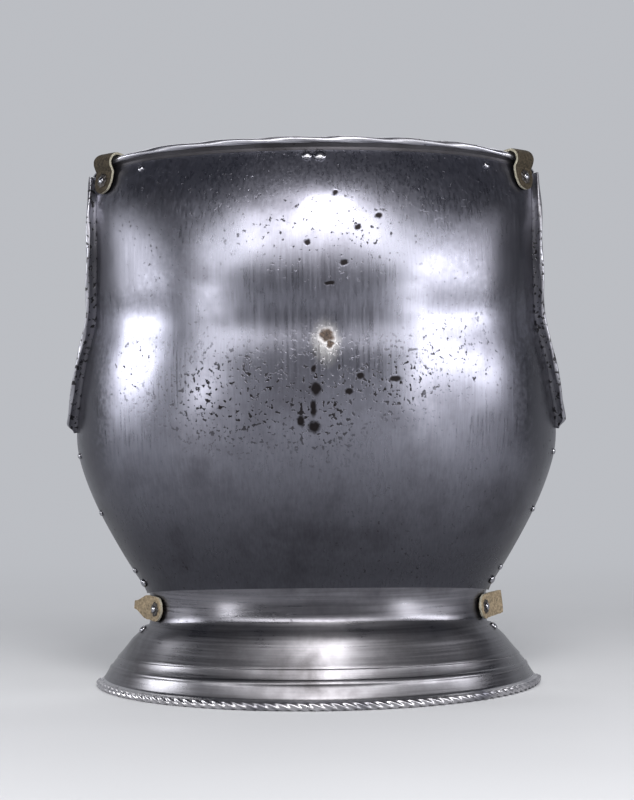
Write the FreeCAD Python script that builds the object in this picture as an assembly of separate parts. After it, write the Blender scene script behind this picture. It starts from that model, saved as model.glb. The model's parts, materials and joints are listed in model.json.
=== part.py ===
import FreeCAD, Part
import math
import os

Vec = FreeCAD.Vector

# Armour backplate: back plate, waist plate and culet lame, with their rivets, washers and leather straps.
# X runs from the wearer's left to right as seen from behind, Y runs forward to the wearer, Z is up.
# The outer side faces -Y. In the end the part is centred on X and Y, and its roped edge stands on Z = 0.

# Heights of the three plates, measured at their ends
WAIST_LEVEL = 62.0
CULET_TOP_LEVEL = 49.6
SEAM_LEVEL = 73.5
POINT_LEVEL = 195.5
NECK_LEVEL = 398.5

# The waist lines arch up at the middle, the neck edge falls towards the shoulders
WAIST_ARCH = 9.6
ARCH_FADE_LEVEL = 50.0
NECK_FALL = 11.0
NECK_FALL_START = 300.0

# Horizontal sections are half ellipses: half width, depth, and inset of the middle of the back
CHEST_HALF_WIDTH = 190.5
WAIST_HALF_WIDTH = 130.0
CULET_HALF_WIDTH = 169.6
CHEST_DEPTH = 174.0
WAIST_DEPTH = 87.0
CULET_DEPTH = 155.0
CHEST_INSET = 3.6
WAIST_INSET = 39.5
CULET_INSET = 3.2

# Shallow hollow across the shoulder blades
HOLLOW_LEVEL = 286.0
HOLLOW_REACH = 19.0
HOLLOW_DEPTH = 2.0

# Sheet and laps
BACK_THICKNESS = 1.6
WAIST_THICKNESS = 1.4
CULET_THICKNESS = 1.5
LAP_CLEARANCE = 0.5
WAIST_LAP_TOP = 12.5
WAIST_LAP_BOTTOM = 11.0

# Turned edges: the neck and armhole turns get lower near the shoulders, the culet's edge is a rope of strands
NECK_TURN = 9.0
NECK_TURN_END = 2.0
NECK_WAVE_SPACING = 44.0
ARM_TURN = 8.6
ARM_TURN_END = 5.2
ARM_WAVE_SPACING = 41.0
ROPE_RADIUS = 2.75
ROPE_SPACING = 7.8
ROPE_JOIN_LEVEL = 6.6
ROPE_GROOVE_DEPTH = 0.8
ROPE_GROOVE_WIDTH = 2.9

# Sunken band of the culet, levels of its border lines
BAND_TOP_LEVEL = 23.6
BAND_BOTTOM_LEVEL = 17.2
BEAD_BOTTOM_LEVEL = 14.6
BAND_SINK = 0.7
BAND_STEP = 0.8

# Rivets and washers
SMALL_HEAD_RADIUS = 2.4
SMALL_HEAD_HEIGHT = 1.7
SMALL_SHANK_RADIUS = 1.3
WAIST_HEAD_RADIUS = 3.3
WAIST_HEAD_HEIGHT = 2.2
WAIST_SHANK_RADIUS = 1.7
NECK_HEAD_RADIUS_LEFT = 4.1
NECK_HEAD_RADIUS_RIGHT = 4.8
NECK_HEAD_HEIGHT = 2.6
NECK_SHANK_RADIUS = 2.0
STRAP_HEAD_RADIUS = 2.6
STRAP_HEAD_HEIGHT = 1.8
STRAP_SHANK_RADIUS = 1.5
SHANK_FIT = 0.05
HEAD_SEAT = 0.12
WAIST_HEAD_SEAT = 0.45
CULET_HEAD_SEAT = 0.3
ROVE_SEAT = 0.15
ROVE_THICKNESS = 0.9
ROVE_MARGIN = 1.7
TAIL_HEIGHT = 0.8
TAIL_MARGIN = 0.6
DOME_SHARES = ((1.0, 0.0), (0.91, 0.42), (0.58, 0.84), (0.0, 1.0))
TAIL_SHARES = ((1.0, 0.0), (0.6, 1.0), (0.0, 1.0))
CULET_RIVET_PLAY = 0.45
CULET_ROVE_PLAY = 0.8
ROSETTE_RADIUS = 5.6
ROSETTE_THICKNESS = 0.9
ROSETTE_SEAT = 0.1
ROSETTE_NOTCH_SHARE = 0.84
PETAL_COUNT = 7

# Places of the rivets
NECK_RIVET_DROP = 4.2
NECK_RIVET_SPREAD = 9.4
SHOULDER_RIVET_EDGE = 37.824
SHOULDER_RIVET_DROP = 5.2
SIDE_RIVET_LEVELS = (90.5, 134.0, 177.5)
SIDE_RIVET_EDGE = 6.0
WAIST_RIVET_LEVEL = 81.0
WAIST_RIVET_EDGE = 8.0
CULET_RIVET_LEVEL = 45.5
CULET_RIVET_EDGE = 12.64

# Leather
STRAP_THICKNESS = 2.4
SHOULDER_STRAP_SEAT = 1.8
WAIST_STRAP_SEAT = 1.5
SHOULDER_STRAP_WIDTH = 19.0
SHOULDER_STRAP_EDGE = 10.176
SHOULDER_STRAP_DROP = 8.4
SHOULDER_STRAP_TAIL = 9.6
SHOULDER_STRAP_RUNS = (5.8, 3.0, 3.0, 6.0)
SHOULDER_STRAP_BENDS = (4.0, 6.5, 11.0)
WAIST_STRAP_WIDTH = 17.5
WAIST_STRAP_TAIL = 8.75
WAIST_STRAP_RUNS = (8.5, 13.6)
WAIST_STRAP_BEND = 34.0
WAIST_STRAP_LEVEL = 60.4

# One overrun serves all cuts
OVERRUN = 4.0

# Angles along the section, in degrees from the middle of the back
SEAM_EDGE_ANGLE = 80.0
POINT_EDGE_ANGLE = 75.5
NECK_EDGE_ANGLE = 62.0
WAIST_EDGE_ANGLE = 82.0
CULET_EDGE_ANGLE = 84.0
WAIST_STRAP_LEFT_ANGLE = -68.0
WAIST_STRAP_RIGHT_ANGLE = 73.0

# Other angles in degrees: bends of the straps, slant of the rope's strands and the arc of their grooves
SHOULDER_STRAP_BEND_ANGLE = -36.0
SHOULDER_STRAP_OVER_ANGLE = 124.0
SHOULDER_STRAP_FALL_ANGLE = 30.0
WAIST_STRAP_BEND_ANGLE = -12.0
ROPE_SLANT_ANGLE = 28.0
ROPE_GROOVE_START_ANGLE = 8.0
ROPE_GROOVE_ARC_ANGLE = 225.0

# How finely the plates follow their curves
BACK_COLUMNS = 41
BACK_LOWER_ROWS = 9
BACK_UPPER_ROWS = 25
WAIST_COLUMNS = 17
WAIST_ROWS = 9
CULET_COLUMNS = 19
CULET_FLANGE_ROWS = 3
CULET_SLOPE_ROWS = 6
GROOVE_SIDES = 5
PROBE_ANGLE = 0.05
PROBE_SHARE = 0.002
SEW_SHARE = 0.03

# Sections from waist to neck as shares: level, half width, depth, inset
UPPER_SECTION_SHARES = (
    (0.036, 0.025, 0.006, 0.972), (0.062, 0.107, 0.057, 0.908), (0.086, 0.198, 0.115, 0.833),
    (0.149, 0.421, 0.259, 0.666), (0.214, 0.628, 0.402, 0.513), (0.279, 0.802, 0.563, 0.373),
    (0.342, 0.926, 0.713, 0.251), (0.397, 0.986, 0.828, 0.167), (0.487, 1.000, 0.931, 0.067),
    (0.600, 0.967, 1.000, 0.011), (0.707, 0.926, 1.000, 0.000), (0.826, 0.917, 0.908, 0.109),
    (0.915, 0.926, 0.747, 0.373), (0.975, 0.934, 0.586, 0.708), (1.000, 0.942, 0.506, 0.875),
)
# Sections from waist to lower edge as shares: level below the waist, flare
FLARE_SHARES = (
    (0.000, 0.000), (0.097, 0.018), (0.194, 0.058), (0.258, 0.140), (0.334, 0.270), (0.452, 0.425),
    (0.571, 0.578), (0.682, 0.725), (0.806, 0.843), (0.891, 0.927), (0.956, 1.000), (1.000, 1.050),
)
# End of the back plate: how far its angle has gone from seam to point, and from point to neck, at each height
LOWER_EDGE_SHARES = ((0.0, 0.0), (0.5, -0.044), (0.75, 0.044), (0.88, 0.311), (1.0, 1.0))
UPPER_EDGE_SHARES = (
    (0.0, 0.0), (0.07, 0.2444), (0.15, 0.4444), (0.34, 0.7556), (0.52, 0.9407), (0.71, 1.0), (1.0, 1.0),
)
# How much of the neck's fall, and of its turn's lowering, is spread over the width and not near the shoulders
NECK_FALL_SHARE = 0.5
NECK_TURN_SHARE = 0.25

# Sections of the turned edges as shares of their height: distance out of the face, and beyond the edge
NECK_SECTION = {
    "rise_shares": ((0.07, 0.27),), "back_shares": ((-0.07, 0.36),), "centre_shares": (0.42, 0.72),
    "radius_share": 0.27, "wave_share": 0.14,
    "start_angle": -100.0, "end_angle": 205.0, "ring_count": 8,
}
ARM_SECTION = {
    "rise_shares": ((0.42, -0.02),), "back_shares": ((0.34, 0.19), (0.0, 0.18), (-0.14, 0.12)),
    "centre_shares": (0.80, 0.12), "radius_share": 0.19, "wave_share": 0.20,
    "start_angle": -100.0, "end_angle": 135.0, "ring_count": 7,
}
ROPE_SECTION = {
    "rise_shares": (), "back_shares": (), "radius_share": 1.0, "wave_share": 0.0,
    "start_angle": 112.0, "end_angle": -176.0, "ring_count": 9,
}


def spline_slopes(xs, ys):
    """Second derivatives of the natural cubic spline through the points."""
    count = len(xs)
    second = [0.0] * count
    work = [0.0] * count
    for i in range(1, count - 1):
        part = (xs[i] - xs[i - 1]) / (xs[i + 1] - xs[i - 1])
        pivot = part * second[i - 1] + 2.0
        second[i] = (part - 1.0) / pivot
        jump = (ys[i + 1] - ys[i]) / (xs[i + 1] - xs[i]) - (ys[i] - ys[i - 1]) / (xs[i] - xs[i - 1])
        work[i] = (6.0 * jump / (xs[i + 1] - xs[i - 1]) - part * work[i - 1]) / pivot
    for i in range(count - 2, -1, -1):
        second[i] = second[i] * second[i + 1] + work[i]
    return second


class Curve:
    """Smooth curve through a table of points, read at any place."""

    def __init__(self, xs, ys):
        self.xs = list(xs)
        self.ys = list(ys)
        self.second = spline_slopes(self.xs, self.ys)

    def at(self, x):
        xs = self.xs
        i = 0
        while i < len(xs) - 2 and x > xs[i + 1]:
            i += 1
        step = xs[i + 1] - xs[i]
        a = (xs[i + 1] - x) / step
        b = (x - xs[i]) / step
        bend = (a ** 3 - a) * self.second[i] + (b ** 3 - b) * self.second[i + 1]
        return a * self.ys[i] + b * self.ys[i + 1] + bend * step * step / 6.0


def curve_of_shares(first, last, shares):
    """Curve from one value to another along a table of shares."""
    return Curve([row[0] for row in shares], [first + (last - first) * row[1] for row in shares])


def section_table():
    """Levels with half width, depth and inset, from the lower edge to the neck."""
    rows = []
    for drop, flare in FLARE_SHARES[::-1]:
        rows.append((WAIST_LEVEL * (1 - drop),
                     WAIST_HALF_WIDTH + (CULET_HALF_WIDTH - WAIST_HALF_WIDTH) * flare,
                     WAIST_DEPTH + (CULET_DEPTH - WAIST_DEPTH) * flare,
                     WAIST_INSET + (CULET_INSET - WAIST_INSET) * flare))
    for rise, width, depth, inset in UPPER_SECTION_SHARES:
        rows.append((WAIST_LEVEL + (NECK_LEVEL - WAIST_LEVEL) * rise,
                     WAIST_HALF_WIDTH + (CHEST_HALF_WIDTH - WAIST_HALF_WIDTH) * width,
                     WAIST_DEPTH + (CHEST_DEPTH - WAIST_DEPTH) * depth,
                     CHEST_INSET + (WAIST_INSET - CHEST_INSET) * inset))
    return rows


TABLE = section_table()
LEVELS = [row[0] for row in TABLE]
WIDTH_CURVE = Curve(LEVELS, [row[1] for row in TABLE])
DEPTH_CURVE = Curve(LEVELS, [row[2] for row in TABLE])
INSET_CURVE = Curve(LEVELS, [row[3] for row in TABLE])
LOWER_EDGE_CURVE = curve_of_shares(SEAM_EDGE_ANGLE, POINT_EDGE_ANGLE, LOWER_EDGE_SHARES)
UPPER_EDGE_CURVE = curve_of_shares(POINT_EDGE_ANGLE, NECK_EDGE_ANGLE, UPPER_EDGE_SHARES)


def smooth(t):
    """Ramp from 0 to 1 with level ends."""
    t = min(max(t, 0.0), 1.0)
    return t * t * (3.0 - 2.0 * t)


def height(angle, level):
    """Real height of a level at an angle: the waist arches up, the neck falls to the shoulders."""
    if level < ARCH_FADE_LEVEL:
        arch = smooth(level / ARCH_FADE_LEVEL)
    else:
        arch = 1.0 - smooth((level - SEAM_LEVEL) / (POINT_LEVEL - SEAM_LEVEL))
    side = angle / SEAM_EDGE_ANGLE
    lift = WAIST_ARCH * arch * (1.0 - side * side)
    shoulder = abs(angle) / NECK_EDGE_ANGLE
    fall = smooth((level - NECK_FALL_START) / (NECK_LEVEL - NECK_FALL_START))
    round_fall = NECK_FALL_SHARE * shoulder ** 2 + (1 - NECK_FALL_SHARE) * shoulder ** 6
    return level + lift - NECK_FALL * fall * round_fall


def outer_point(angle, level, sink=0.0):
    """Point of the outermost layer at an angle and a level, sunk towards the inside by sink."""
    turn = math.radians(angle)
    near = (level - HOLLOW_LEVEL) / HOLLOW_REACH
    sink += HOLLOW_DEPTH * math.exp(-near * near)
    width = WIDTH_CURVE.at(level) - sink
    depth = DEPTH_CURVE.at(level) - sink
    inset = INSET_CURVE.at(level) + sink
    return Vec(width * math.sin(turn), inset + depth * (1.0 - math.cos(turn)), height(angle, level))


def outward(angle, level):
    """Unit normal of the layer, pointing away from the wearer."""
    rise = PROBE_SHARE * WAIST_LEVEL
    along = outer_point(angle + PROBE_ANGLE, level) - outer_point(angle - PROBE_ANGLE, level)
    up = outer_point(angle, level + rise) - outer_point(angle, level - rise)
    normal = along.cross(up)
    normal.normalize()
    return normal


def layer_point(angle, level, depth, sink=0.0):
    """Point below the outermost layer, measured along its normal."""
    return outer_point(angle, level, sink) - outward(angle, level) * depth


def spread(low, high, count):
    """Evenly spaced values from low to high."""
    return [low + (high - low) * i / (count - 1) for i in range(count)]


def runs_along(points):
    """Distance of each point along the line through the points."""
    runs = [0.0]
    for i in range(1, len(points)):
        runs.append(runs[-1] + (points[i] - points[i - 1]).Length)
    return runs


def curve_through(points, places):
    """Smooth curve through the points, at the given places."""
    curve = Part.BSplineCurve()
    curve.interpolate(Points=points, Parameters=places)
    return curve


def skin(rows, across=None, upward=None):
    """Smooth face through rows of points. The places along a row and from row to row follow their lengths."""
    across = across or runs_along(rows[len(rows) // 2])
    upward = upward or runs_along([row[len(row) // 2] for row in rows])
    row_curves = [curve_through(row, across) for row in rows]
    poles = [curve.getPoles() for curve in row_curves]
    columns = [curve_through([row[i] for row in poles], upward) for i in range(len(poles[0]))]
    first = row_curves[0]
    side = columns[0]
    surface = Part.BSplineSurface()
    surface.buildFromPolesMultsKnots([column.getPoles() for column in columns],
                                     first.getMultiplicities(), side.getMultiplicities(),
                                     first.getKnots(), side.getKnots(), False, False,
                                     first.Degree, side.Degree)
    return surface.toShape()


def ruled(low, high, places):
    """Face that runs straight from one row of points to the other."""
    middle = len(low) // 2
    return skin([low, high], places, [0.0, (high[middle] - low[middle]).Length])


def closed_solid(faces):
    """Solid from faces that meet edge to edge."""
    shell = Part.makeShell(faces)
    shell.sewShape(SEW_SHARE * BACK_THICKNESS)
    if shell.ShapeType != "Shell":
        shell = shell.Shells[0]
    solid = Part.makeSolid(shell)
    if solid.Volume < 0:
        solid.reverse()
    return solid


def end_cap(edges):
    """Flat face inside a loop of edges."""
    return Part.Face(Part.Wire(Part.__sortEdges__(edges)))


class Sheet:
    """Piece of plate with an outer and an inner face. point(place, share, layer) gives its points: place runs
    from -1 to 1 across, share from 0 to 1 upwards, layer is 0 outside and 1 inside."""

    def __init__(self, point, columns, rows, across=None):
        places = spread(-1.0, 1.0, columns)
        shares = spread(0.0, 1.0, rows)
        self.grids = [[[point(place, share, layer) for place in places] for share in shares]
                      for layer in (0, 1)]
        outer = self.grids[0]
        self.across = across or runs_along(outer[rows // 2])
        self.upward = runs_along([row[columns // 2] for row in outer])

    def faces(self):
        return [skin(grid, self.across, self.upward) for grid in self.grids]

    def edge_points(self, edge, layer):
        grid = self.grids[layer]
        if edge in ("low", "high"):
            return grid[0 if edge == "low" else -1]
        return [row[0 if edge == "left" else -1] for row in grid]

    def edge_places(self, edge):
        return self.across if edge in ("low", "high") else self.upward

    def edge_face(self, edge):
        """Narrow face that closes the sheet along one edge."""
        return ruled(self.edge_points(edge, 0), self.edge_points(edge, 1), self.edge_places(edge))


class Turn:
    """A turned edge along a sheet's edge. Its section at each place lies in the plane of two directions:
    out leaves the outer face, away leaves the edge in the sheet's own plane, or upwards for a level edge."""

    def __init__(self, sheet, edge, size_at, section, wave_spacing, hand=1, level_edge=False):
        self.outer = sheet.edge_points(edge, 0)
        self.inner = sheet.edge_points(edge, 1)
        self.places = sheet.edge_places(edge)
        self.runs = runs_along(self.outer)
        self.sizes = [size_at(run / self.runs[-1]) for run in self.runs]
        self.section = section
        self.wave_spacing = wave_spacing * hand
        line = curve_through(self.outer, self.places)
        self.axes = []
        for place, outer, inner in zip(self.places, self.outer, self.inner):
            out = outer - inner
            if level_edge:
                out = Vec(out.x, out.y, 0.0)
                away = Vec(0.0, 0.0, 1.0)
            else:
                away = out.cross(line.tangent(place)[0])
                if edge == "left":
                    away = away * -1
            out.normalize()
            away.normalize()
            self.axes.append((out, away))

    def row(self, spots):
        """Points at the given out and away distances, one pair for each place."""
        return [foot + axes[0] * spot[0] + axes[1] * spot[1]
                for foot, axes, spot in zip(self.outer, self.axes, spots)]

    def flank_rows(self, shares):
        return [self.row([(out * size, away * size) for size in self.sizes]) for out, away in shares]

    def bead_rows(self):
        """Rows round the bead. Worn roping makes its radius swell and shrink in slanting waves."""
        section = self.section
        start = math.radians(section["start_angle"])
        end = math.radians(section["end_angle"])
        out, away = section["centre_shares"]
        rows = []
        for share in spread(0.0, 1.0, section["ring_count"]):
            angle = start + (end - start) * share
            fade = 1 - (2 * share - 1) ** 6
            spots = []
            for run, size in zip(self.runs, self.sizes):
                wave = math.cos(2 * angle + 2 * math.pi * run / self.wave_spacing)
                radius = section["radius_share"] * size * (1 + section["wave_share"] * wave * fade)
                spots.append((out * size + radius * math.cos(angle), away * size + radius * math.sin(angle)))
            rows.append(self.row(spots))
        return rows

    def faces(self):
        """Ruled faces from each row to the next, and a flat cap at both ends."""
        rows = [self.outer] + self.flank_rows(self.section["rise_shares"]) + self.bead_rows()
        rows += self.flank_rows(self.section["back_shares"]) + [self.inner]
        found = [ruled(low, high, self.places) for low, high in zip(rows, rows[1:])]
        for end in (0, -1):
            corners = [row[end] for row in rows]
            found.append(end_cap([Part.makeLine(*pair) for pair in zip(corners, corners[1:] + corners[:1])]))
        return found


def neck_size(share):
    """Height of the turned neck edge, lower near the shoulders."""
    side = abs(2 * share - 1)
    lowering = NECK_TURN_SHARE * side ** 2 + (1 - NECK_TURN_SHARE) * side ** 8
    return NECK_TURN + (NECK_TURN_END - NECK_TURN) * lowering


def arm_size(share):
    """Height of the turned armhole edge, lower near the shoulder."""
    return ARM_TURN + (ARM_TURN_END - ARM_TURN) * share ** 10


def back_sheet(low, high, edge_curve, rows, across=None):
    """Part of the back plate between two levels."""
    def point(place, share, layer):
        angle = edge_curve.at(share) * place
        return layer_point(angle, low + (high - low) * share, BACK_THICKNESS * layer)

    return Sheet(point, BACK_COLUMNS, rows, across)


def back_plate_blank():
    """Back plate with its turned edges, before the rivet holes."""
    lower = back_sheet(SEAM_LEVEL, POINT_LEVEL, LOWER_EDGE_CURVE, BACK_LOWER_ROWS)
    upper = back_sheet(POINT_LEVEL, NECK_LEVEL, UPPER_EDGE_CURVE, BACK_UPPER_ROWS, lower.across)
    faces = lower.faces() + upper.faces()
    faces += [lower.edge_face(edge) for edge in ("low", "left", "right")]
    faces += Turn(upper, "high", neck_size, NECK_SECTION, NECK_WAVE_SPACING).faces()
    for edge, hand in (("left", -1), ("right", 1)):
        faces += Turn(upper, edge, arm_size, ARM_SECTION, ARM_WAVE_SPACING, hand).faces()
    return closed_solid(faces)


def waist_plate_blank():
    """Hollow band under the back plate and the culet."""
    low = CULET_TOP_LEVEL - WAIST_LAP_BOTTOM
    high = SEAM_LEVEL + WAIST_LAP_TOP

    def point(place, share, layer):
        depth = BACK_THICKNESS + LAP_CLEARANCE + WAIST_THICKNESS * layer
        return layer_point(WAIST_EDGE_ANGLE * place, low + (high - low) * share, depth)

    sheet = Sheet(point, WAIST_COLUMNS, WAIST_ROWS)
    return closed_solid(sheet.faces() + [sheet.edge_face(edge) for edge in ("low", "high", "left", "right")])


def culet_runs():
    """Levels of the culet in runs between its creases, each level with its sink."""
    step_low = BAND_BOTTOM_LEVEL + BAND_STEP
    step_high = BAND_TOP_LEVEL - BAND_STEP
    middle = (BEAD_BOTTOM_LEVEL + BAND_BOTTOM_LEVEL) / 2
    return (
        [(level, 0.0) for level in spread(ROPE_JOIN_LEVEL, BEAD_BOTTOM_LEVEL, CULET_FLANGE_ROWS)],
        [(BEAD_BOTTOM_LEVEL, 0.0), (middle, -BAND_SINK / 2)],
        [(middle, -BAND_SINK / 2), (BAND_BOTTOM_LEVEL, 0.0)],
        [(BAND_BOTTOM_LEVEL, 0.0), (step_low, BAND_SINK)],
        [(step_low, BAND_SINK), (step_high, BAND_SINK)],
        [(step_high, BAND_SINK), (BAND_TOP_LEVEL, 0.0)],
        [(level, 0.0) for level in spread(BAND_TOP_LEVEL, CULET_TOP_LEVEL, CULET_SLOPE_ROWS)],
    )


def culet_lean(angle, level):
    """Normal of the culet in the upright plane across its edge."""
    turn = math.radians(angle)
    side = Vec(CULET_DEPTH * math.sin(turn), -CULET_HALF_WIDTH * math.cos(turn), 0.0)
    side.normalize()
    rise = outward(angle, level).z
    return side * math.sqrt(1.0 - rise * rise) + Vec(0.0, 0.0, rise)


def culet_sheet(run, across):
    """Part of the culet between two creases."""
    def point(place, share, layer):
        level, sink = run[round(share * (len(run) - 1))]
        angle = CULET_EDGE_ANGLE * place
        return outer_point(angle, level, sink) - culet_lean(angle, level) * (CULET_THICKNESS * layer)

    return Sheet(point, CULET_COLUMNS, len(run), across)


def rope_middle(angle):
    """Point in the middle of the rope at an angle, with the direction that leaves the culet there."""
    out = culet_lean(angle, ROPE_JOIN_LEVEL)
    out.z = 0.0
    out.normalize()
    reach = WIDTH_CURVE.at(ROPE_RADIUS) - WIDTH_CURVE.at(ROPE_JOIN_LEVEL)
    drop = Vec(0.0, 0.0, ROPE_JOIN_LEVEL - ROPE_RADIUS)
    return outer_point(angle, ROPE_JOIN_LEVEL) + out * reach - drop, out


def strand_groove():
    """Notch between two strands, bent about Z round the outer side of the rope from X on."""
    loops = []
    for turn in spread(0.0, math.radians(ROPE_GROOVE_ARC_ANGLE), GROOVE_SIDES + 1):
        arm = Vec(math.cos(turn), math.sin(turn), 0.0)
        deep = arm * (ROPE_RADIUS - ROPE_GROOVE_DEPTH)
        rim = arm * (ROPE_RADIUS + ROPE_GROOVE_DEPTH)
        half = Vec(0.0, 0.0, ROPE_GROOVE_WIDTH / 2)
        loops.append(Part.makePolygon([deep, rim + half, rim - half, deep]))
    return Part.makeLoft(loops, True, True)


def strand_grooves():
    """Slanting notches along the rope, evenly spaced from end to end."""
    groove = strand_groove()
    angles = spread(-CULET_EDGE_ANGLE, CULET_EDGE_ANGLE, 1 + round(2 * CULET_EDGE_ANGLE))
    runs = runs_along([rope_middle(angle)[0] for angle in angles])
    angle_at_run = Curve(runs, angles)
    count = int(runs[-1] / ROPE_SPACING)
    first = (runs[-1] - ROPE_SPACING * (count - 1)) / 2
    found = []
    for i in range(count):
        middle, out = rope_middle(angle_at_run.at(first + ROPE_SPACING * i))
        up = Vec(0.0, 0.0, 1.0)
        axis = FreeCAD.Rotation(out, ROPE_SLANT_ANGLE).multVec(up.cross(out))
        start = FreeCAD.Rotation(axis, ROPE_GROOVE_START_ANGLE).multVec(out.cross(axis))
        found.append(set_on(groove, middle, start, axis))
    return found


def culet_plate_blank():
    """Flared lame with a sunken band and a roped edge."""
    across = None
    sheets = []
    for run in culet_runs():
        sheet = culet_sheet(run, across)
        across = sheet.across
        sheets.append(sheet)
    faces = []
    for sheet in sheets:
        faces += sheet.faces() + [sheet.edge_face("left"), sheet.edge_face("right")]
    faces.append(sheets[-1].edge_face("high"))
    reach = WIDTH_CURVE.at(ROPE_RADIUS) - WIDTH_CURVE.at(ROPE_JOIN_LEVEL)
    drop = ROPE_RADIUS - ROPE_JOIN_LEVEL
    section = dict(ROPE_SECTION, centre_shares=(reach / ROPE_RADIUS, drop / ROPE_RADIUS))
    faces += Turn(sheets[0], "low", lambda share: ROPE_RADIUS, section, ROPE_SPACING, level_edge=True).faces()
    return closed_solid(faces).cut(strand_grooves())


def placed(shape, point, direction):
    """Shape made about Z, moved to a point with its Z along a direction."""
    moved = shape.copy()
    moved.Placement = FreeCAD.Placement(point, FreeCAD.Rotation(Vec(0.0, 0.0, 1.0), direction))
    return moved


def turned(profile):
    """Solid turned about Z from a closed list of edges in the XZ plane."""
    face = Part.Face(Part.Wire(profile))
    return face.revolve(Vec(0.0, 0.0, 0.0), Vec(0.0, 0.0, 1.0), 360.0)


def dome_edges(radius, low, rise, shares):
    """Edges from the rim of a hammered dome to its top on the axis."""
    corners = [Vec(radius * width, 0.0, low + rise * up) for width, up in shares]
    return [Part.makeLine(*pair) for pair in zip(corners, corners[1:])]


def rivet(head_radius, head_height, shank_radius, grip):
    """Domed rivet with its head on Z = 0 and its peened tail below the grip."""
    tail_radius = shank_radius + TAIL_MARGIN
    edges = dome_edges(head_radius, 0.0, head_height, DOME_SHARES)
    edges += dome_edges(tail_radius, -grip, -TAIL_HEIGHT, TAIL_SHARES)
    edges += [
        Part.makeLine(Vec(head_radius, 0.0, 0.0), Vec(shank_radius, 0.0, 0.0)),
        Part.makeLine(Vec(shank_radius, 0.0, 0.0), Vec(shank_radius, 0.0, -grip)),
        Part.makeLine(Vec(shank_radius, 0.0, -grip), Vec(tail_radius, 0.0, -grip)),
        Part.makeLine(Vec(0.0, 0.0, -grip - TAIL_HEIGHT), Vec(0.0, 0.0, head_height)),
    ]
    return turned(Part.__sortEdges__(edges))


def rove(shank_radius, grip):
    """Round washer whose lower face is at the end of the grip."""
    low = Vec(0.0, 0.0, -grip)
    disc = Part.makeCylinder(shank_radius + ROVE_MARGIN, ROVE_THICKNESS, low)
    return disc.cut(Part.makeCylinder(shank_radius + SHANK_FIT, ROVE_THICKNESS, low))


def rosette(shank_radius):
    """Scalloped washer with its lower face on Z = 0."""
    ring = 2.0 * math.pi / PETAL_COUNT
    notch = ROSETTE_RADIUS * ROSETTE_NOTCH_SHARE
    edges = []
    for i in range(PETAL_COUNT):
        spots = [ring * i, ring * (i + 0.5), ring * (i + 1)]
        radii = [notch, ROSETTE_RADIUS, notch]
        points = [Vec(radius * math.cos(spot), radius * math.sin(spot), 0.0)
                  for radius, spot in zip(radii, spots)]
        edges.append(Part.Arc(*points).toShape())
    plate = Part.Face(Part.Wire(edges)).extrude(Vec(0.0, 0.0, ROSETTE_THICKNESS))
    return plate.cut(Part.makeCylinder(shank_radius + SHANK_FIT, ROSETTE_THICKNESS))


class Seat:
    """A place on a plate where a rivet goes through, with the stack of sheet under its head."""

    def __init__(self, angle, level, above, below, shank_radius):
        self.point = outer_point(angle, level)
        self.normal = outward(angle, level)
        self.above = above
        self.grip = above + below + ROVE_SEAT + ROVE_THICKNESS
        self.shank_radius = shank_radius

    def head_place(self):
        return self.point + self.normal * self.above

    def rivet(self, head_radius, head_height):
        shape = rivet(head_radius, head_height, self.shank_radius, self.grip)
        return placed(shape, self.head_place(), self.normal)

    def rove(self):
        return placed(rove(self.shank_radius, self.grip), self.head_place(), self.normal)

    def hole(self, clearance):
        start = self.point - self.normal * (self.grip + OVERRUN)
        length = self.grip + self.above + 2 * OVERRUN
        return Part.makeCylinder(self.shank_radius + clearance, length, start, self.normal)


def angle_at(offset, level):
    """Angle whose point lies at a sideways offset from the middle."""
    return math.degrees(math.asin(offset / WIDTH_CURVE.at(level)))


def shoulder_angle(side, level, distance):
    """Angle whose point lies a distance inside the shoulder corner of the back plate, measured sideways."""
    corner = WIDTH_CURVE.at(level) * math.sin(math.radians(NECK_EDGE_ANGLE))
    return angle_at(side * (corner - distance), level)


def edge_inset(edge_angle, level, distance):
    """Angle that lies a distance inside the end of a plate."""
    step = outer_point(edge_angle, level) - outer_point(edge_angle - 1.0, level)
    return edge_angle - distance / step.Length


def through_culet(side):
    angle = side * edge_inset(CULET_EDGE_ANGLE, CULET_RIVET_LEVEL, CULET_RIVET_EDGE)
    below = CULET_THICKNESS + LAP_CLEARANCE + WAIST_THICKNESS + CULET_ROVE_PLAY
    return Seat(angle, CULET_RIVET_LEVEL, CULET_HEAD_SEAT, below, WAIST_SHANK_RADIUS)


def through_waist(side):
    angle = side * edge_inset(SEAM_EDGE_ANGLE, WAIST_RIVET_LEVEL, WAIST_RIVET_EDGE)
    below = BACK_THICKNESS + LAP_CLEARANCE + WAIST_THICKNESS
    return Seat(angle, WAIST_RIVET_LEVEL, WAIST_HEAD_SEAT, below, WAIST_SHANK_RADIUS)


def through_side(side, level):
    share = (level - SEAM_LEVEL) / (POINT_LEVEL - SEAM_LEVEL)
    angle = side * edge_inset(LOWER_EDGE_CURVE.at(share), level, SIDE_RIVET_EDGE)
    return Seat(angle, level, HEAD_SEAT, BACK_THICKNESS, SMALL_SHANK_RADIUS)


def through_shoulder(side):
    level = NECK_LEVEL - SHOULDER_RIVET_DROP
    angle = shoulder_angle(side, level, SHOULDER_RIVET_EDGE)
    return Seat(angle, level, HEAD_SEAT, BACK_THICKNESS, SMALL_SHANK_RADIUS)


def through_neck(side):
    level = NECK_LEVEL - NECK_RIVET_DROP
    angle = angle_at(side * NECK_RIVET_SPREAD / 2, level)
    return Seat(angle, level, HEAD_SEAT, BACK_THICKNESS, NECK_SHANK_RADIUS)


STRAP_STACK = STRAP_THICKNESS + ROSETTE_SEAT + ROSETTE_THICKNESS


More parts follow.
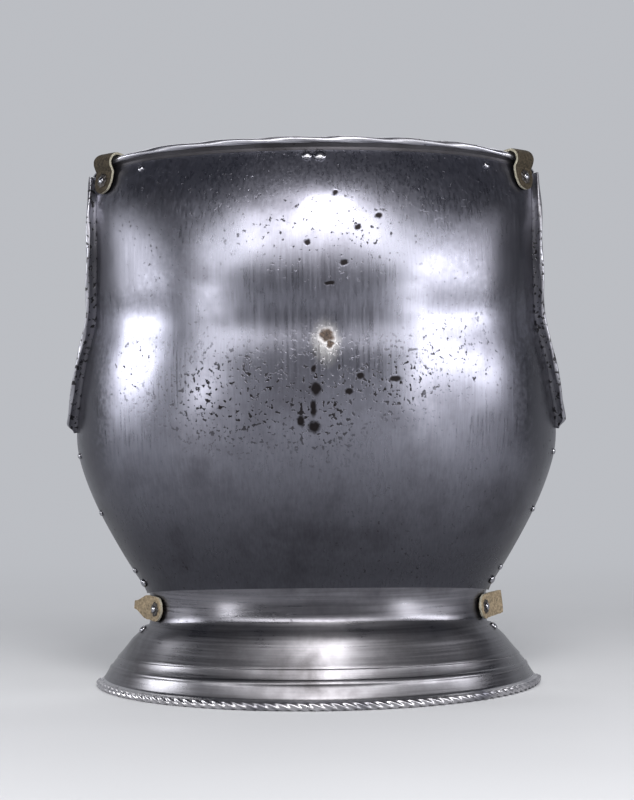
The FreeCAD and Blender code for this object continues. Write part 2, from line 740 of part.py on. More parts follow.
def through_shoulder_strap(side):
    level = NECK_LEVEL - SHOULDER_STRAP_DROP
    above = SHOULDER_STRAP_SEAT + STRAP_STACK
    angle = shoulder_angle(side, level, SHOULDER_STRAP_EDGE)
    return Seat(angle, level, above, BACK_THICKNESS, STRAP_SHANK_RADIUS)


def through_waist_strap(angle):
    seat = Seat(angle, WAIST_STRAP_LEVEL, WAIST_STRAP_SEAT + STRAP_STACK, WAIST_THICKNESS, STRAP_SHANK_RADIUS)
    seat.point = layer_point(angle, WAIST_STRAP_LEVEL, BACK_THICKNESS + LAP_CLEARANCE)
    return seat


def strap_strip(tail, seat, moves, width):
    """Strip of leather drawn in the XZ plane from minus tail upwards, its width along Y. The middle of its
    thickness follows the moves: each is a straight length and then a bend, given as radius and degrees."""
    half = STRAP_THICKNESS / 2
    point = Vec(0.0, 0.0, -tail)
    heading = 90.0
    sides = {-half: [], half: []}

    def at(place, direction, offset):
        turn = math.radians(direction - 90.0)
        return place + Vec(math.cos(turn), 0.0, math.sin(turn)) * offset

    for length, radius, bend in moves:
        start = point
        turn = math.radians(heading)
        point = start + Vec(math.cos(turn), 0.0, math.sin(turn)) * length
        for offset, edges in sides.items():
            edges.append(Part.makeLine(at(start, heading, offset), at(point, heading, offset)))
        if bend:
            centre = at(point, heading, -math.copysign(radius, bend))
            reach = math.copysign(radius, bend)
            places = [at(centre, heading + bend * share, reach) for share in (0.0, 0.5, 1.0)]
            for offset, edges in sides.items():
                arc = [at(place, heading + bend * share, offset)
                       for place, share in zip(places, (0.0, 0.5, 1.0))]
                edges.append(Part.Arc(*arc).toShape())
            point = places[2]
            heading += bend
    turn = Vec(0.0, 0.0, -tail)
    ends = [Part.makeLine(at(turn, 90.0, -half), at(turn, 90.0, half)),
            Part.makeLine(at(point, heading, -half), at(point, heading, half))]
    strip = Part.Face(Part.Wire(Part.__sortEdges__(sides[-half] + sides[half] + ends)))
    strip.translate(Vec(seat + half, -width / 2, 0.0))
    return strip.extrude(Vec(0.0, width, 0.0))


def finished_tail(strip, tail, seat, width):
    """Cut the tail of a strap round and drill it for its rivet, with room to turn on it."""
    through = seat + STRAP_THICKNESS + 2 * OVERRUN
    out = Vec(1.0, 0.0, 0.0)
    corner = Part.makeBox(through, width, width / 2 + OVERRUN, Vec(-OVERRUN, -width / 2, -tail - OVERRUN))
    keep = Part.makeCylinder(width / 2, through, Vec(-OVERRUN, 0.0, width / 2 - tail), out)
    hole = Part.makeCylinder(STRAP_SHANK_RADIUS + SHANK_FIT, through, Vec(-OVERRUN, 0.0, 0.0), out)
    return strip.cut([corner.cut(keep), hole])


def set_on(shape, origin, out, along):
    """Move a shape drawn with X out of the plate and Z along the strap to its place."""
    side = along.cross(out)
    matrix = FreeCAD.Matrix(out.x, side.x, along.x, origin.x,
                            out.y, side.y, along.y, origin.y,
                            out.z, side.z, along.z, origin.z,
                            0.0, 0.0, 0.0, 1.0)
    return shape.transformed(matrix)


def leaned(direction, normal):
    """Unit direction in the plate's own plane that is nearest to the one given."""
    along = direction - normal * direction.dot(normal)
    along.normalize()
    return along


def shoulder_strap(side):
    """Leather from its rounded tail over the turned edge, its stub reaching forward."""
    seat = through_shoulder_strap(side)
    first, second, third, last = SHOULDER_STRAP_RUNS
    bends = SHOULDER_STRAP_BENDS
    moves = ((SHOULDER_STRAP_TAIL + first, bends[0], SHOULDER_STRAP_BEND_ANGLE),
             (second, bends[1], SHOULDER_STRAP_OVER_ANGLE),
             (third, bends[2], SHOULDER_STRAP_FALL_ANGLE),
             (last, 0.0, 0.0))
    strip = strap_strip(SHOULDER_STRAP_TAIL, SHOULDER_STRAP_SEAT, moves, SHOULDER_STRAP_WIDTH)
    strip = finished_tail(strip, SHOULDER_STRAP_TAIL, SHOULDER_STRAP_SEAT, SHOULDER_STRAP_WIDTH)
    return set_on(strip, seat.point, seat.normal, leaned(Vec(0.0, 0.0, 1.0), seat.normal))


def waist_strap(angle):
    """Leather from its rounded root on the waist band, its stub leaving the band forward."""
    seat = through_waist_strap(angle)
    first, last = WAIST_STRAP_RUNS
    moves = ((WAIST_STRAP_TAIL + first, WAIST_STRAP_BEND, WAIST_STRAP_BEND_ANGLE), (last, 0.0, 0.0))
    strip = strap_strip(WAIST_STRAP_TAIL, WAIST_STRAP_SEAT, moves, WAIST_STRAP_WIDTH)
    strip = finished_tail(strip, WAIST_STRAP_TAIL, WAIST_STRAP_SEAT, WAIST_STRAP_WIDTH)
    return set_on(strip, seat.point, seat.normal, leaned(Vec(0.0, 1.0, 0.0), seat.normal))


def rosette_on(seat):
    """Rosette under the head of a strap rivet."""
    point = seat.head_place() - seat.normal * ROSETTE_THICKNESS
    return placed(rosette(seat.shank_radius), point, seat.normal)


def build():
    """All pieces by name. Washers and other pieces that share a name are a group of separate solids."""
    groups = {}
    back_seats = []
    waist_seats = []
    culet_seats = []
    strap_angles = {"left": WAIST_STRAP_LEFT_ANGLE, "right": WAIST_STRAP_RIGHT_ANGLE}
    neck_heads = {"left": NECK_HEAD_RADIUS_LEFT, "right": NECK_HEAD_RADIUS_RIGHT}
    side_levels = list(zip(("lower", "middle", "upper"), SIDE_RIVET_LEVELS))

    def add(name, shape):
        groups.setdefault(name, []).append(shape)

    def fasten(rivet_name, rove_name, seat, head_radius, head_height, plates):
        add(rivet_name, seat.rivet(head_radius, head_height))
        add(rove_name, seat.rove())
        for plate in plates:
            plate.append(seat)

    for name, side in (("left", -1), ("right", 1)):
        fasten("neck_rivet_" + name, "neck_roves", through_neck(side),
               neck_heads[name], NECK_HEAD_HEIGHT, [back_seats])
        fasten("shoulder_rivet_" + name, "shoulder_rivet_roves", through_shoulder(side),
               SMALL_HEAD_RADIUS, SMALL_HEAD_HEIGHT, [back_seats])
        for place, level in side_levels:
            fasten("side_rivet_" + name + "_" + place, "side_rivet_roves", through_side(side, level),
                   SMALL_HEAD_RADIUS, SMALL_HEAD_HEIGHT, [back_seats])
        fasten("waist_rivet_" + name, "waist_rivet_roves", through_waist(side),
               WAIST_HEAD_RADIUS, WAIST_HEAD_HEIGHT, [back_seats, waist_seats])
        fasten("culet_rivet_" + name, "culet_rove_" + name, through_culet(side),
               WAIST_HEAD_RADIUS, WAIST_HEAD_HEIGHT, [culet_seats])
        seat = through_shoulder_strap(side)
        fasten("shoulder_strap_rivet_" + name, "shoulder_strap_roves", seat,
               STRAP_HEAD_RADIUS, STRAP_HEAD_HEIGHT, [back_seats])
        add("shoulder_rosette_" + name, rosette_on(seat))
        add("shoulder_strap_" + name, shoulder_strap(side))
        seat = through_waist_strap(strap_angles[name])
        fasten("waist_strap_rivet_" + name, "waist_strap_roves", seat,
               STRAP_HEAD_RADIUS, STRAP_HEAD_HEIGHT, [waist_seats])
        add("waist_rosette_" + name, rosette_on(seat))
        add("waist_strap_" + name, waist_strap(strap_angles[name]))
    add("back_plate", back_plate_blank().cut([seat.hole(SHANK_FIT) for seat in back_seats]))
    waist = waist_plate_blank().cut([seat.hole(SHANK_FIT) for seat in waist_seats])
    add("waist_plate", waist.cut([seat.hole(CULET_RIVET_PLAY) for seat in culet_seats]))
    add("culet_plate", culet_plate_blank().cut([seat.hole(SHANK_FIT) for seat in culet_seats]))
    pieces = {name: shapes[0] if len(shapes) == 1 else Part.Compound(shapes)
              for name, shapes in groups.items()}
    box = Part.Compound(list(pieces.values())).optimalBoundingBox(False, False)
    for shape in pieces.values():
        shape.translate(Vec(-box.Center.x, -box.Center.y, -box.ZMin))
    print("moved by", round(-box.Center.x, 4), round(-box.Center.y, 4), round(-box.ZMin, 4))
    return pieces


os.makedirs("parts", exist_ok=True)
for part_name, part_shape in sorted(build().items()):
    part_shape.exportStep("parts/" + part_name + ".step")
    print(part_name, part_shape.isValid(), len(part_shape.Solids), round(part_shape.Volume, 1))
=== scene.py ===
import json
import math

import bmesh
import bpy
import numpy as np
from mathutils import Matrix, Vector, noise

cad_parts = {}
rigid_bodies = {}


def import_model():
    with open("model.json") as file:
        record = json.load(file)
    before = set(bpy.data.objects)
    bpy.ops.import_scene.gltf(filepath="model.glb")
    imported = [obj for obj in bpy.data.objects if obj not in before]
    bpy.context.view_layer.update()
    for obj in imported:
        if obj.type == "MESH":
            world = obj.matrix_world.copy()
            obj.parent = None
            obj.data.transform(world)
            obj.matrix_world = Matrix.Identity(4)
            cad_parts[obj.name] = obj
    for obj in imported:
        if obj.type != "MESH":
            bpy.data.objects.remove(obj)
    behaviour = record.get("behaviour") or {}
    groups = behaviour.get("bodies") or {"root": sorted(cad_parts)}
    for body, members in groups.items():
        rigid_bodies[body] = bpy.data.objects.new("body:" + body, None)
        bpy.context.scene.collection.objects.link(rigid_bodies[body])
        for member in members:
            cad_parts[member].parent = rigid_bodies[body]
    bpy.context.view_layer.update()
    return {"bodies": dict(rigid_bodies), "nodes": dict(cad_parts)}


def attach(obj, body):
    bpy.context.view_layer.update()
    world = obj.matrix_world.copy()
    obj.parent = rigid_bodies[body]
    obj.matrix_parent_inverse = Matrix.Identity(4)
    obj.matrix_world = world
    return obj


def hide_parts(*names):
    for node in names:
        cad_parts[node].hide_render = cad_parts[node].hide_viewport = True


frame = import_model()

# Sizes in millimetres and angles in degrees, the same as in the part's source unless a comment says
# otherwise. MOVE centres the part as the source does.
MM = 0.001
MOVE = np.array((0.0, -70.3278, -0.0348))
WAIST_LEVEL, CULET_TOP, SEAM, POINT, NECK = 62.0, 49.6, 73.5, 195.5, 398.5
WAIST_ARCH, ARCH_FADE, NECK_FALL, FALL_START = 9.6, 50.0, 11.0, 300.0
# Half ellipses at chest, waist and culet
HALF_WIDTHS, DEPTHS, INSETS = (190.5, 130.0, 169.6), (174.0, 87.0, 155.0), (3.6, 39.5, 3.2)
# Level, reach and depth of the hollow across the plate, a little lower, wider and deeper than in the source
HOLLOW = (277.0, 21.0, 3.0)
BACK_T, WAIST_T, CULET_T, LAP = 1.6, 1.4, 1.5, 0.5
# Widths of the turned edges: the neck's middle and ends, an armhole's lower part and top. The armhole's
# starts at a share of its width and reaches the full width after a short run.
NECK_TURN, ARM_TURN, ARM_START, ARM_START_RUN = (9.0, 2.0), (8.6, 5.2), 0.30, 9.0
NECK_WAVES, ARM_WAVES, ROPE_STEP = 44.0, 41.0, 7.8
ROPE_R, ROPE_JOIN = 2.75, 6.6
BAND_TOP, BAND_MIDDLE, BAND_BOTTOM, BEAD_BOTTOM, BAND_SINK, BAND_STEP = 23.6, 19.9, 17.2, 14.6, 0.7, 0.8
WAIST_LAP_BOTTOM, WAIST_LAP_TOP = 11.0, 12.5
SEAM_ANGLE, WAIST_ANGLE, CULET_ANGLE, NECK_ANGLE = 80.0, 82.0, 84.0, 62.0
# Share of the height above the waist, then shares of half width, depth and inset
UPPER = np.array((
    (0.036, 0.025, 0.006, 0.972), (0.062, 0.107, 0.057, 0.908), (0.086, 0.198, 0.115, 0.833),
    (0.149, 0.421, 0.259, 0.666), (0.214, 0.628, 0.402, 0.513), (0.279, 0.802, 0.563, 0.373),
    (0.342, 0.926, 0.713, 0.251), (0.397, 0.986, 0.828, 0.167), (0.487, 1.000, 0.931, 0.067),
    (0.600, 0.967, 1.000, 0.011), (0.707, 0.926, 1.000, 0.000), (0.826, 0.917, 0.908, 0.109),
    (0.915, 0.926, 0.747, 0.373), (0.975, 0.934, 0.586, 0.708), (1.000, 0.942, 0.506, 0.875)))
# Share of the height below the waist, then share of the flare
FLARE = np.array((
    (0.000, 0.000), (0.097, 0.018), (0.194, 0.058), (0.258, 0.140), (0.334, 0.270), (0.452, 0.425),
    (0.571, 0.578), (0.682, 0.725), (0.806, 0.843), (0.891, 0.927), (0.956, 1.000), (1.000, 1.050)))
# Share of the height from seam to side point and from there to the neck, then the angle of the plate's edge
LOWER_EDGE = np.array(((0.0, 80.0), (0.5, 80.2), (0.75, 79.8), (0.88, 78.6), (1.0, 75.5)))
UPPER_EDGE = np.array((
    (0.0, 75.5), (0.07, 72.2), (0.15, 69.5), (0.34, 65.3), (0.52, 62.8), (0.71, 62.0), (1.0, 62.0)))


def spline(xs, ys):
    """Natural cubic spline through the points."""
    xs, ys = np.asarray(xs, float), np.asarray(ys, float)
    n = len(xs)
    h = np.diff(xs)
    system = np.eye(n)
    right = np.zeros(n)
    for i in range(1, n - 1):
        system[i, i - 1:i + 2] = (h[i - 1], 2 * (h[i - 1] + h[i]), h[i])
        right[i] = 6 * ((ys[i + 1] - ys[i]) / h[i] - (ys[i] - ys[i - 1]) / h[i - 1])
    second = np.linalg.solve(system, right)

    def at(x):
        x = np.asarray(x, float)
        i = np.clip(np.searchsorted(xs, x) - 1, 0, n - 2)
        a, b = (xs[i + 1] - x) / h[i], (x - xs[i]) / h[i]
        bend = (a ** 3 - a) * second[i] + (b ** 3 - b) * second[i + 1]
        return a * ys[i] + b * ys[i + 1] + bend * h[i] ** 2 / 6
    return at


def section_curves():
    """Half width, depth and inset at every level."""
    levels = list(WAIST_LEVEL * (1 - FLARE[::-1, 0]))
    levels += list(WAIST_LEVEL + (NECK - WAIST_LEVEL) * UPPER[:, 0])
    found = []
    for column, (chest, waist, culet) in enumerate((HALF_WIDTHS, DEPTHS, INSETS)):
        low = list(waist + (culet - waist) * FLARE[::-1, 1])
        if column < 2:
            high = list(waist + (chest - waist) * UPPER[:, column + 1])
        else:
            high = list(chest + (waist - chest) * UPPER[:, 3])
        found.append(spline(levels, low + high))
    return found


WIDTH_AT, DEPTH_AT, INSET_AT = section_curves()
LOWER_EDGE_AT, UPPER_EDGE_AT = spline(*LOWER_EDGE.T), spline(*UPPER_EDGE.T)


def smooth(t):
    """Smooth step from 0 to 1."""
    t = np.clip(t, 0.0, 1.0)
    return t * t * (3 - 2 * t)


def outer(angle, level, sink=0.0):
    """Points of the outermost layer."""
    angle, level = np.broadcast_arrays(np.asarray(angle, float), np.asarray(level, float))
    turn = np.radians(angle)
    sink = sink + HOLLOW[2] * np.exp(-((level - HOLLOW[0]) / HOLLOW[1]) ** 2)
    arch = np.where(level < ARCH_FADE, smooth(level / ARCH_FADE),
                    1 - smooth((level - SEAM) / (POINT - SEAM)))
    lift = WAIST_ARCH * arch * (1 - (angle / SEAM_ANGLE) ** 2)
    shoulder = np.abs(angle) / NECK_ANGLE
    fall = smooth((level - FALL_START) / (NECK - FALL_START))
    z = level + lift - NECK_FALL * fall * (0.5 * shoulder ** 2 + 0.5 * shoulder ** 6)
    x = (WIDTH_AT(level) - sink) * np.sin(turn)
    y = INSET_AT(level) + sink + (DEPTH_AT(level) - sink) * (1 - np.cos(turn))
    return np.stack([x, y, z], -1)


def unit(v):
    return v / np.linalg.norm(v, axis=-1, keepdims=True)


def outward(angle, level):
    """Normals of the outermost layer, from a small step of angle and of level."""
    turn, rise = 0.05, 0.12
    along = outer(angle + turn, level) - outer(angle - turn, level)
    up = outer(angle, level + rise) - outer(angle, level - rise)
    return unit(np.cross(along, up))


def edge_angle(level):
    """Angle of the back plate's side edge."""
    low = LOWER_EDGE_AT((level - SEAM) / (POINT - SEAM))
    return np.where(level <= POINT, low, UPPER_EDGE_AT((level - POINT) / (NECK - POINT)))


def fbm(points, size, octaves, seed):
    """Smooth noise at points in millimetres, features of about the given size."""
    shift = Vector((seed * 13.7, seed * 5.1, seed * 9.3))
    flat = points.reshape(-1, 3) / size
    values = [noise.fractal(Vector(p) + shift, 1.0, 2.0, octaves, noise_basis="PERLIN_ORIGINAL")
              for p in flat]
    return np.array(values).reshape(points.shape[:-1])


class Mesh:
    """Collects grids of points and turns them into one object."""

    def __init__(self):
        self.verts, self.faces, self.slots, self.count = [], [], [], 0

    def grid(self, points, flip=False, slot=0, wrap=False):
        """Adds rows of points. slot: the material's number. wrap: the last column joins the first."""
        rows, cols = points.shape[:2]
        index = self.count + np.arange(rows * cols).reshape(rows, cols)
        self.verts.append(points.reshape(-1, 3))
        self.count += rows * cols
        if wrap:
            index = np.concatenate([index, index[:, :1]], 1)
        quads = np.stack([index[:-1, :-1], index[:-1, 1:], index[1:, 1:], index[1:, :-1]], -1)
        quads = quads.reshape(-1, 4)
        if flip:
            quads = quads[:, ::-1]
        self.faces += quads.tolist()
        self.slots += [slot] * len(quads)

    def fan(self, rim, slot=0):
        """Closes a ring of points with triangles to its middle."""
        self.grid(np.stack([rim, np.repeat(rim.mean(0)[None, :], len(rim), 0)]), slot=slot)

    def build(self, name, materials, body, stands_for, angle=35.0, merge=0.004):
        """Edges sharper than the angle stay sharp, points closer than merge become one."""
        data = bpy.data.meshes.new(name)
        points = (np.concatenate(self.verts) + MOVE) * MM
        data.from_pydata(points.tolist(), [], self.faces)
        data.polygons.foreach_set("material_index", self.slots)
        obj = bpy.data.objects.new(name, data)
        bpy.context.scene.collection.objects.link(obj)
        for material in materials:
            data.materials.append(material)
        work = bmesh.new()
        work.from_mesh(data)
        bmesh.ops.remove_doubles(work, verts=work.verts, dist=merge * MM)
        bmesh.ops.dissolve_degenerate(work, edges=work.edges, dist=1e-7)
        bmesh.ops.recalc_face_normals(work, faces=work.faces)
        work.to_mesh(data)
        work.free()
        data.shade_smooth()
        data.set_sharp_from_angle(angle=math.radians(angle))
        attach(obj, body)
        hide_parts(*stands_for)


# Materials

def nodes_of(name):
    """New material, its node tree and its shader."""
    material = bpy.data.materials.new(name)
    material.use_nodes = True
    tree = material.node_tree
    return material, tree, tree.nodes["Principled BSDF"]


def add(tree, kind, **values):
    node = tree.nodes.new(kind)
    for key, value in values.items():
        setattr(node, key, value)
    return node


def coordinate(tree, axis):
    """Object coordinate along one axis."""
    place = add(tree, "ShaderNodeTexCoord")
    split = add(tree, "ShaderNodeSeparateXYZ")
    tree.links.new(place.outputs["Object"], split.inputs[0])
    return split.outputs[axis]


def combine(tree, operation, a, b):
    """Result of a math operation on two sockets."""
    node = add(tree, "ShaderNodeMath", operation=operation)
    tree.links.new(a, node.inputs[0])
    tree.links.new(b, node.inputs[1])
    return node.outputs[0]


def ease(tree, source, low, high, start=0.0, end=1.0):
    """Goes smoothly from start to end while the source goes from low to high."""
    node = add(tree, "ShaderNodeMapRange", interpolation_type="SMOOTHSTEP")
    for socket, value in (("From Min", low), ("From Max", high), ("To Min", start), ("To Max", end)):
        node.inputs[socket].default_value = value
    tree.links.new(source, node.inputs["Value"])
    return node.outputs["Result"]


def noise_of(tree, scale, detail, rough=0.55, stretch=(1.0, 1.0, 1.0), shift=(0.0, 0.0, 0.0)):
    """Noise over object coordinates, stretched per axis."""
    place = add(tree, "ShaderNodeTexCoord")
    mapping = add(tree, "ShaderNodeMapping")
    mapping.inputs["Scale"].default_value = stretch
    mapping.inputs["Location"].default_value = shift
    texture = add(tree, "ShaderNodeTexNoise")
    texture.inputs["Scale"].default_value = scale
    texture.inputs["Detail"].default_value = detail
    texture.inputs["Roughness"].default_value = rough
    tree.links.new(place.outputs["Object"], mapping.inputs["Vector"])
    tree.links.new(mapping.outputs["Vector"], texture.inputs["Vector"])
    return texture.outputs["Fac"]


def ramp(tree, source, stops):
    """Colour ramp. A stop's colour has three parts, or one for grey."""
    node = add(tree, "ShaderNodeValToRGB")
    elements = node.color_ramp.elements
    while len(elements) < len(stops):
        elements.new(0.5)
    for element, (at, colour) in zip(elements, stops):
        element.position = at
        element.color = tuple(colour) + (1.0,) if len(colour) == 3 else (colour[0],) * 3 + (1.0,)
    tree.links.new(source, node.inputs["Fac"])
    return node.outputs["Color"]


def step(tree, source, low, high, top=1.0):
    """0 up to low, then up to top at high."""
    return ramp(tree, source, ((0.0, (0.0,)), (low, (0.0,)), (high, (top,))))


def mix(tree, factor, a, b, blend="MIX"):
    """Blend of two colours. Each value is a number, a colour or a socket."""
    node = add(tree, "ShaderNodeMix", data_type="RGBA", blend_type=blend)
    for value, socket in ((factor, node.inputs[0]), (a, node.inputs[6]), (b, node.inputs[7])):
        if isinstance(value, (int, float)):
            socket.default_value = value
        elif isinstance(value, tuple):
            socket.default_value = value + (1.0,)
        else:
            tree.links.new(value, socket)
    return node.outputs[2]


def bump(tree, source, distance, strength, after=None):
    """Normal with the source as its height, on top of an earlier normal."""
    node = add(tree, "ShaderNodeBump")
    node.inputs["Distance"].default_value = distance
    node.inputs["Strength"].default_value = strength
    tree.links.new(source, node.inputs["Height"])
    if after is not None:
        tree.links.new(after, node.inputs["Normal"])
    return node.outputs["Normal"]


def spots(tree, places, wobble=0.0035, soft=0.35):
    """Mask of irregular round marks.

    Each place is x, z and its two radii in millimetres. wobble is in metres, soft in shares of the radii.
    """
    place = add(tree, "ShaderNodeTexCoord")
    ripple = add(tree, "ShaderNodeTexNoise")
    ripple.inputs["Scale"].default_value = 260.0
    ripple.inputs["Detail"].default_value = 3.0
    tree.links.new(place.outputs["Object"], ripple.inputs["Vector"])
    centred = add(tree, "ShaderNodeVectorMath", operation="SUBTRACT")
    centred.inputs[1].default_value = (0.5, 0.5, 0.5)
    tree.links.new(ripple.outputs["Color"], centred.inputs[0])
    moved = add(tree, "ShaderNodeVectorMath", operation="MULTIPLY_ADD")
    moved.inputs[1].default_value = (wobble, wobble, wobble)
    tree.links.new(centred.outputs[0], moved.inputs[0])
    tree.links.new(place.outputs["Object"], moved.inputs[2])
    nearest = None
    for x, z, wide, tall in places:
        mapping = add(tree, "ShaderNodeMapping")
        mapping.inputs["Scale"].default_value = (1000.0 / wide, 0.0, 1000.0 / tall)
        mapping.inputs["Location"].default_value = (-x / wide, 0.0, -z / tall)
        tree.links.new(moved.outputs[0], mapping.inputs["Vector"])
        length = add(tree, "ShaderNodeVectorMath", operation="LENGTH")
        tree.links.new(mapping.outputs["Vector"], length.inputs[0])
        away = length.outputs["Value"]
        nearest = away if nearest is None else combine(tree, "MINIMUM", nearest, away)
    return ease(tree, nearest, 1.0 + soft, 1.0 - soft)


# Colours of painted shade, the pale halo, pits and rust
PAINTED_SHADE, HALO, HOLE = (0.090, 0.090, 0.106), (0.62, 0.61, 0.62), (0.016, 0.014, 0.015)
RUST_DARK, RUST_LIGHT = (0.020, 0.014, 0.012), (0.11, 0.075, 0.055)


def steel(name, brush, light=(0.245, 0.247, 0.292), dark=(0.152, 0.151, 0.180), rough=(0.23, 0.31),
          pits=0.6, speck=0.665, cover=0.47, streak=0.78, shift=0.0,
          pitted=(), marks=(), pale=(), rust=(), painted_shade_places=(), painted_shade_below=None):
    """Old polished steel.

    brush: scale of the brush lines along each axis. rough: least and most. pits: how dark the pits are.
    speck, cover: the lower, the more pits and the wider their clouds. streak: the lower, the darker the
    brush lines. shift: moves all patterns, so that no two steels match. pitted, marks, pale, rust: places
    as in spots(). painted_shade_places: places as in spots() of painted shade, dark patches over the
    colour.
    painted_shade_below: painted shade, two heights in metres between which the steel lightens, and its
    share of lightness at the lower one.
    """
    material, tree, shader = nodes_of(name)
    lines = noise_of(tree, 1.0, 3.0, 0.6, brush, (shift, 0.3, 0.1))
    stains = noise_of(tree, 16.0, 6.0, 0.62, shift=(shift, 0.0, 0.7))
    clouds = noise_of(tree, 7.0, 3.0, 0.5, shift=(0.4, shift, 0.0))
    peppering = noise_of(tree, 330.0, 2.0, 0.5, shift=(0.1, 0.2, shift))
    colour = ramp(tree, stains, ((0.30, dark), (0.50, light), (0.74, tuple(c * 1.08 for c in light))))
    streaks = ramp(tree, lines, ((0.25, (streak,)), (0.75, (1.0,))))
    colour = mix(tree, 1.0, colour, streaks, "MULTIPLY")
    # Painted shade: the steel darkens towards the bottom
    if painted_shade_below:
        colour = mix(tree, 1.0, colour, ease(tree, coordinate(tree, "Z"), *painted_shade_below), "MULTIPLY")
    # Painted shade: dark patches laid over the steel's colour at the plate's sides, where they dim a lamp's
    # reflection
    if painted_shade_places:
        colour = mix(tree, spots(tree, painted_shade_places, 0.030, 0.55), colour, PAINTED_SHADE)
    specks = step(tree, peppering, speck, speck + 0.035)
    where = ramp(tree, clouds, ((cover, (0.0,)), (cover + 0.13, (pits,))))
    holes = mix(tree, 1.0, specks, where, "MULTIPLY")
    if pitted:
        chips = noise_of(tree, 310.0, 3.0, 0.55, shift=(0.8, shift, 0.2))
        chips = step(tree, chips, 0.630, 0.670, 0.9)
        near = mix(tree, 1.0, chips, spots(tree, pitted, 0.02, 0.6), "MULTIPLY")
        small = step(tree, peppering, 0.605, 0.635)
        small = mix(tree, 1.0, small, spots(tree, pitted[:3], 0.02, 0.7), "MULTIPLY")
        holes = mix(tree, 1.0, holes, mix(tree, 1.0, near, small, "LIGHTEN"), "LIGHTEN")
    if marks:
        holes = mix(tree, 1.0, holes, spots(tree, marks), "LIGHTEN")
    if pale:
        colour = mix(tree, spots(tree, pale, 0.006, 0.5), colour, HALO)
    colour = mix(tree, holes, colour, HOLE)
    dull = ramp(tree, stains, ((0.30, (rough[1],)), (0.60, (rough[0],)), (0.80, (rough[0] + 0.05,))))
    scratch = ramp(tree, lines, ((0.2, (0.0,)), (0.8, (0.10,))))
    dull = mix(tree, 1.0, dull, scratch, "ADD")
    dull = mix(tree, holes, dull, (0.5, 0.5, 0.5))
    shader.inputs["Metallic"].default_value = 1.0
    if rust:
        scab = spots(tree, rust, 0.006, 0.4)
        crumbs = noise_of(tree, 900.0, 4.0, 0.6)
        colour = mix(tree, scab, colour, ramp(tree, crumbs, ((0.35, RUST_DARK), (0.65, RUST_LIGHT))))
        dull = mix(tree, scab, dull, (0.8, 0.8, 0.8))
        holes = mix(tree, 1.0, holes, scab, "LIGHTEN")
        tree.links.new(ramp(tree, scab, ((0.0, (1.0,)), (1.0, (0.1,)))), shader.inputs["Metallic"])
    tree.links.new(colour, shader.inputs["Base Color"])
    tree.links.new(dull, shader.inputs["Roughness"])
    normal = bump(tree, lines, 0.00003, 0.25)
    normal = bump(tree, stains, 0.00012, 0.25, normal)
    tree.links.new(bump(tree, holes, -0.00022, 0.5, normal), shader.inputs["Normal"])
    return material


def plain(name, low, high, rough, scale, depth=0.0002, strength=0.5, metallic=1.0, detail=5.0,
          specular=0.5):
    """Two-tone material with a fine bump."""
    material, tree, shader = nodes_of(name)
    fac = noise_of(tree, scale, detail, 0.6)
    tree.links.new(ramp(tree, fac, ((0.30, low), (0.70, high))), shader.inputs["Base Color"])
    shader.inputs["Metallic"].default_value = metallic
    shader.inputs["Specular IOR Level"].default_value = specular
    dull = ramp(tree, fac, ((0.30, (min(1.0, rough + 0.12),)), (0.75, (rough,))))
    tree.links.new(dull, shader.inputs["Roughness"])
    tree.links.new(bump(tree, fac, depth, strength), shader.inputs["Normal"])
    return material


def leather(name, low, high, rough, scale, specular=0.5):
    """Rough, with a coarser bump."""
    return plain(name, low, high, rough, scale, 0.0006, 0.9, 0.0, 8.0, specular)


# Places on the back plate: x, z and radii in millimetres
PITTED = ((-52.0, 222.0, 62.0, 34.0), (2.0, 222.0, 34.0, 40.0), (52.0, 232.0, 34.0, 26.0),
          (10.0, 338.0, 70.0, 34.0), (100.0, 248.0, 40.0, 26.0), (-128.0, 238.0, 26.0, 26.0))
MARKS = ((-1.4, 240.8, 2.0, 3.0), (0.0, 227.0, 4.0, 4.6), (-2.0, 213.0, 2.2, 6.0),
         (-1.6, 199.6, 4.4, 4.2), (-10.8, 204.0, 2.4, 4.2), (56.0, 233.2, 4.8, 2.2),
         (31.4, 235.6, 2.8, 2.2), (23.2, 224.4, 3.2, 2.2), (15.0, 366.0, 2.0, 2.2),
         (30.6, 340.4, 2.8, 2.0), (46.0, 349.0, 2.4, 2.4), (-5.0, 330.0, 2.4, 2.0),
         (20.6, 315.4, 3.0, 2.2), (10.4, 301.0, 4.2, 1.8))
PALE = ((7.6, 259.0, 8.5, 14.0),)
RUST = ((8.0, 264.4, 5.4, 4.8), (10.4, 258.4, 2.6, 3.0))
# Places of painted shade: dark patches on the plate's sides that dim reflections there
PAINTED_SHADE_PLACES = ((-148.0, 330.0, 54.0, 44.0), (150.0, 330.0, 56.0, 44.0), (-172.0, 218.0, 15.0, 66.0),
           (170.0, 218.0, 19.0, 66.0))
# Scales of the brush lines along x, y and z
UPRIGHT, LEVEL, EVEN = (620.0, 620.0, 9.0), (12.0, 12.0, 620.0), (60.0, 60.0, 60.0)
# The back plate's steel carries painted shade: dark patches at its sides, and darkening towards its bottom
STEEL = steel("back_steel", UPRIGHT, pitted=PITTED, marks=MARKS, pale=PALE, rust=RUST, painted_shade_places=PAINTED_SHADE_PLACES,
              painted_shade_below=(0.09, 0.25, 0.26))
EDGE_STEEL = steel("edge_steel", EVEN, (0.42, 0.42, 0.46), (0.20, 0.196, 0.21), (0.26, 0.42), pits=0.8,
                   shift=0.9)
ARM_STEEL = steel("arm_steel", EVEN, (0.30, 0.30, 0.33), (0.12, 0.117, 0.125), (0.28, 0.44), pits=0.9,
                  shift=1.7, speck=0.575, cover=0.30)
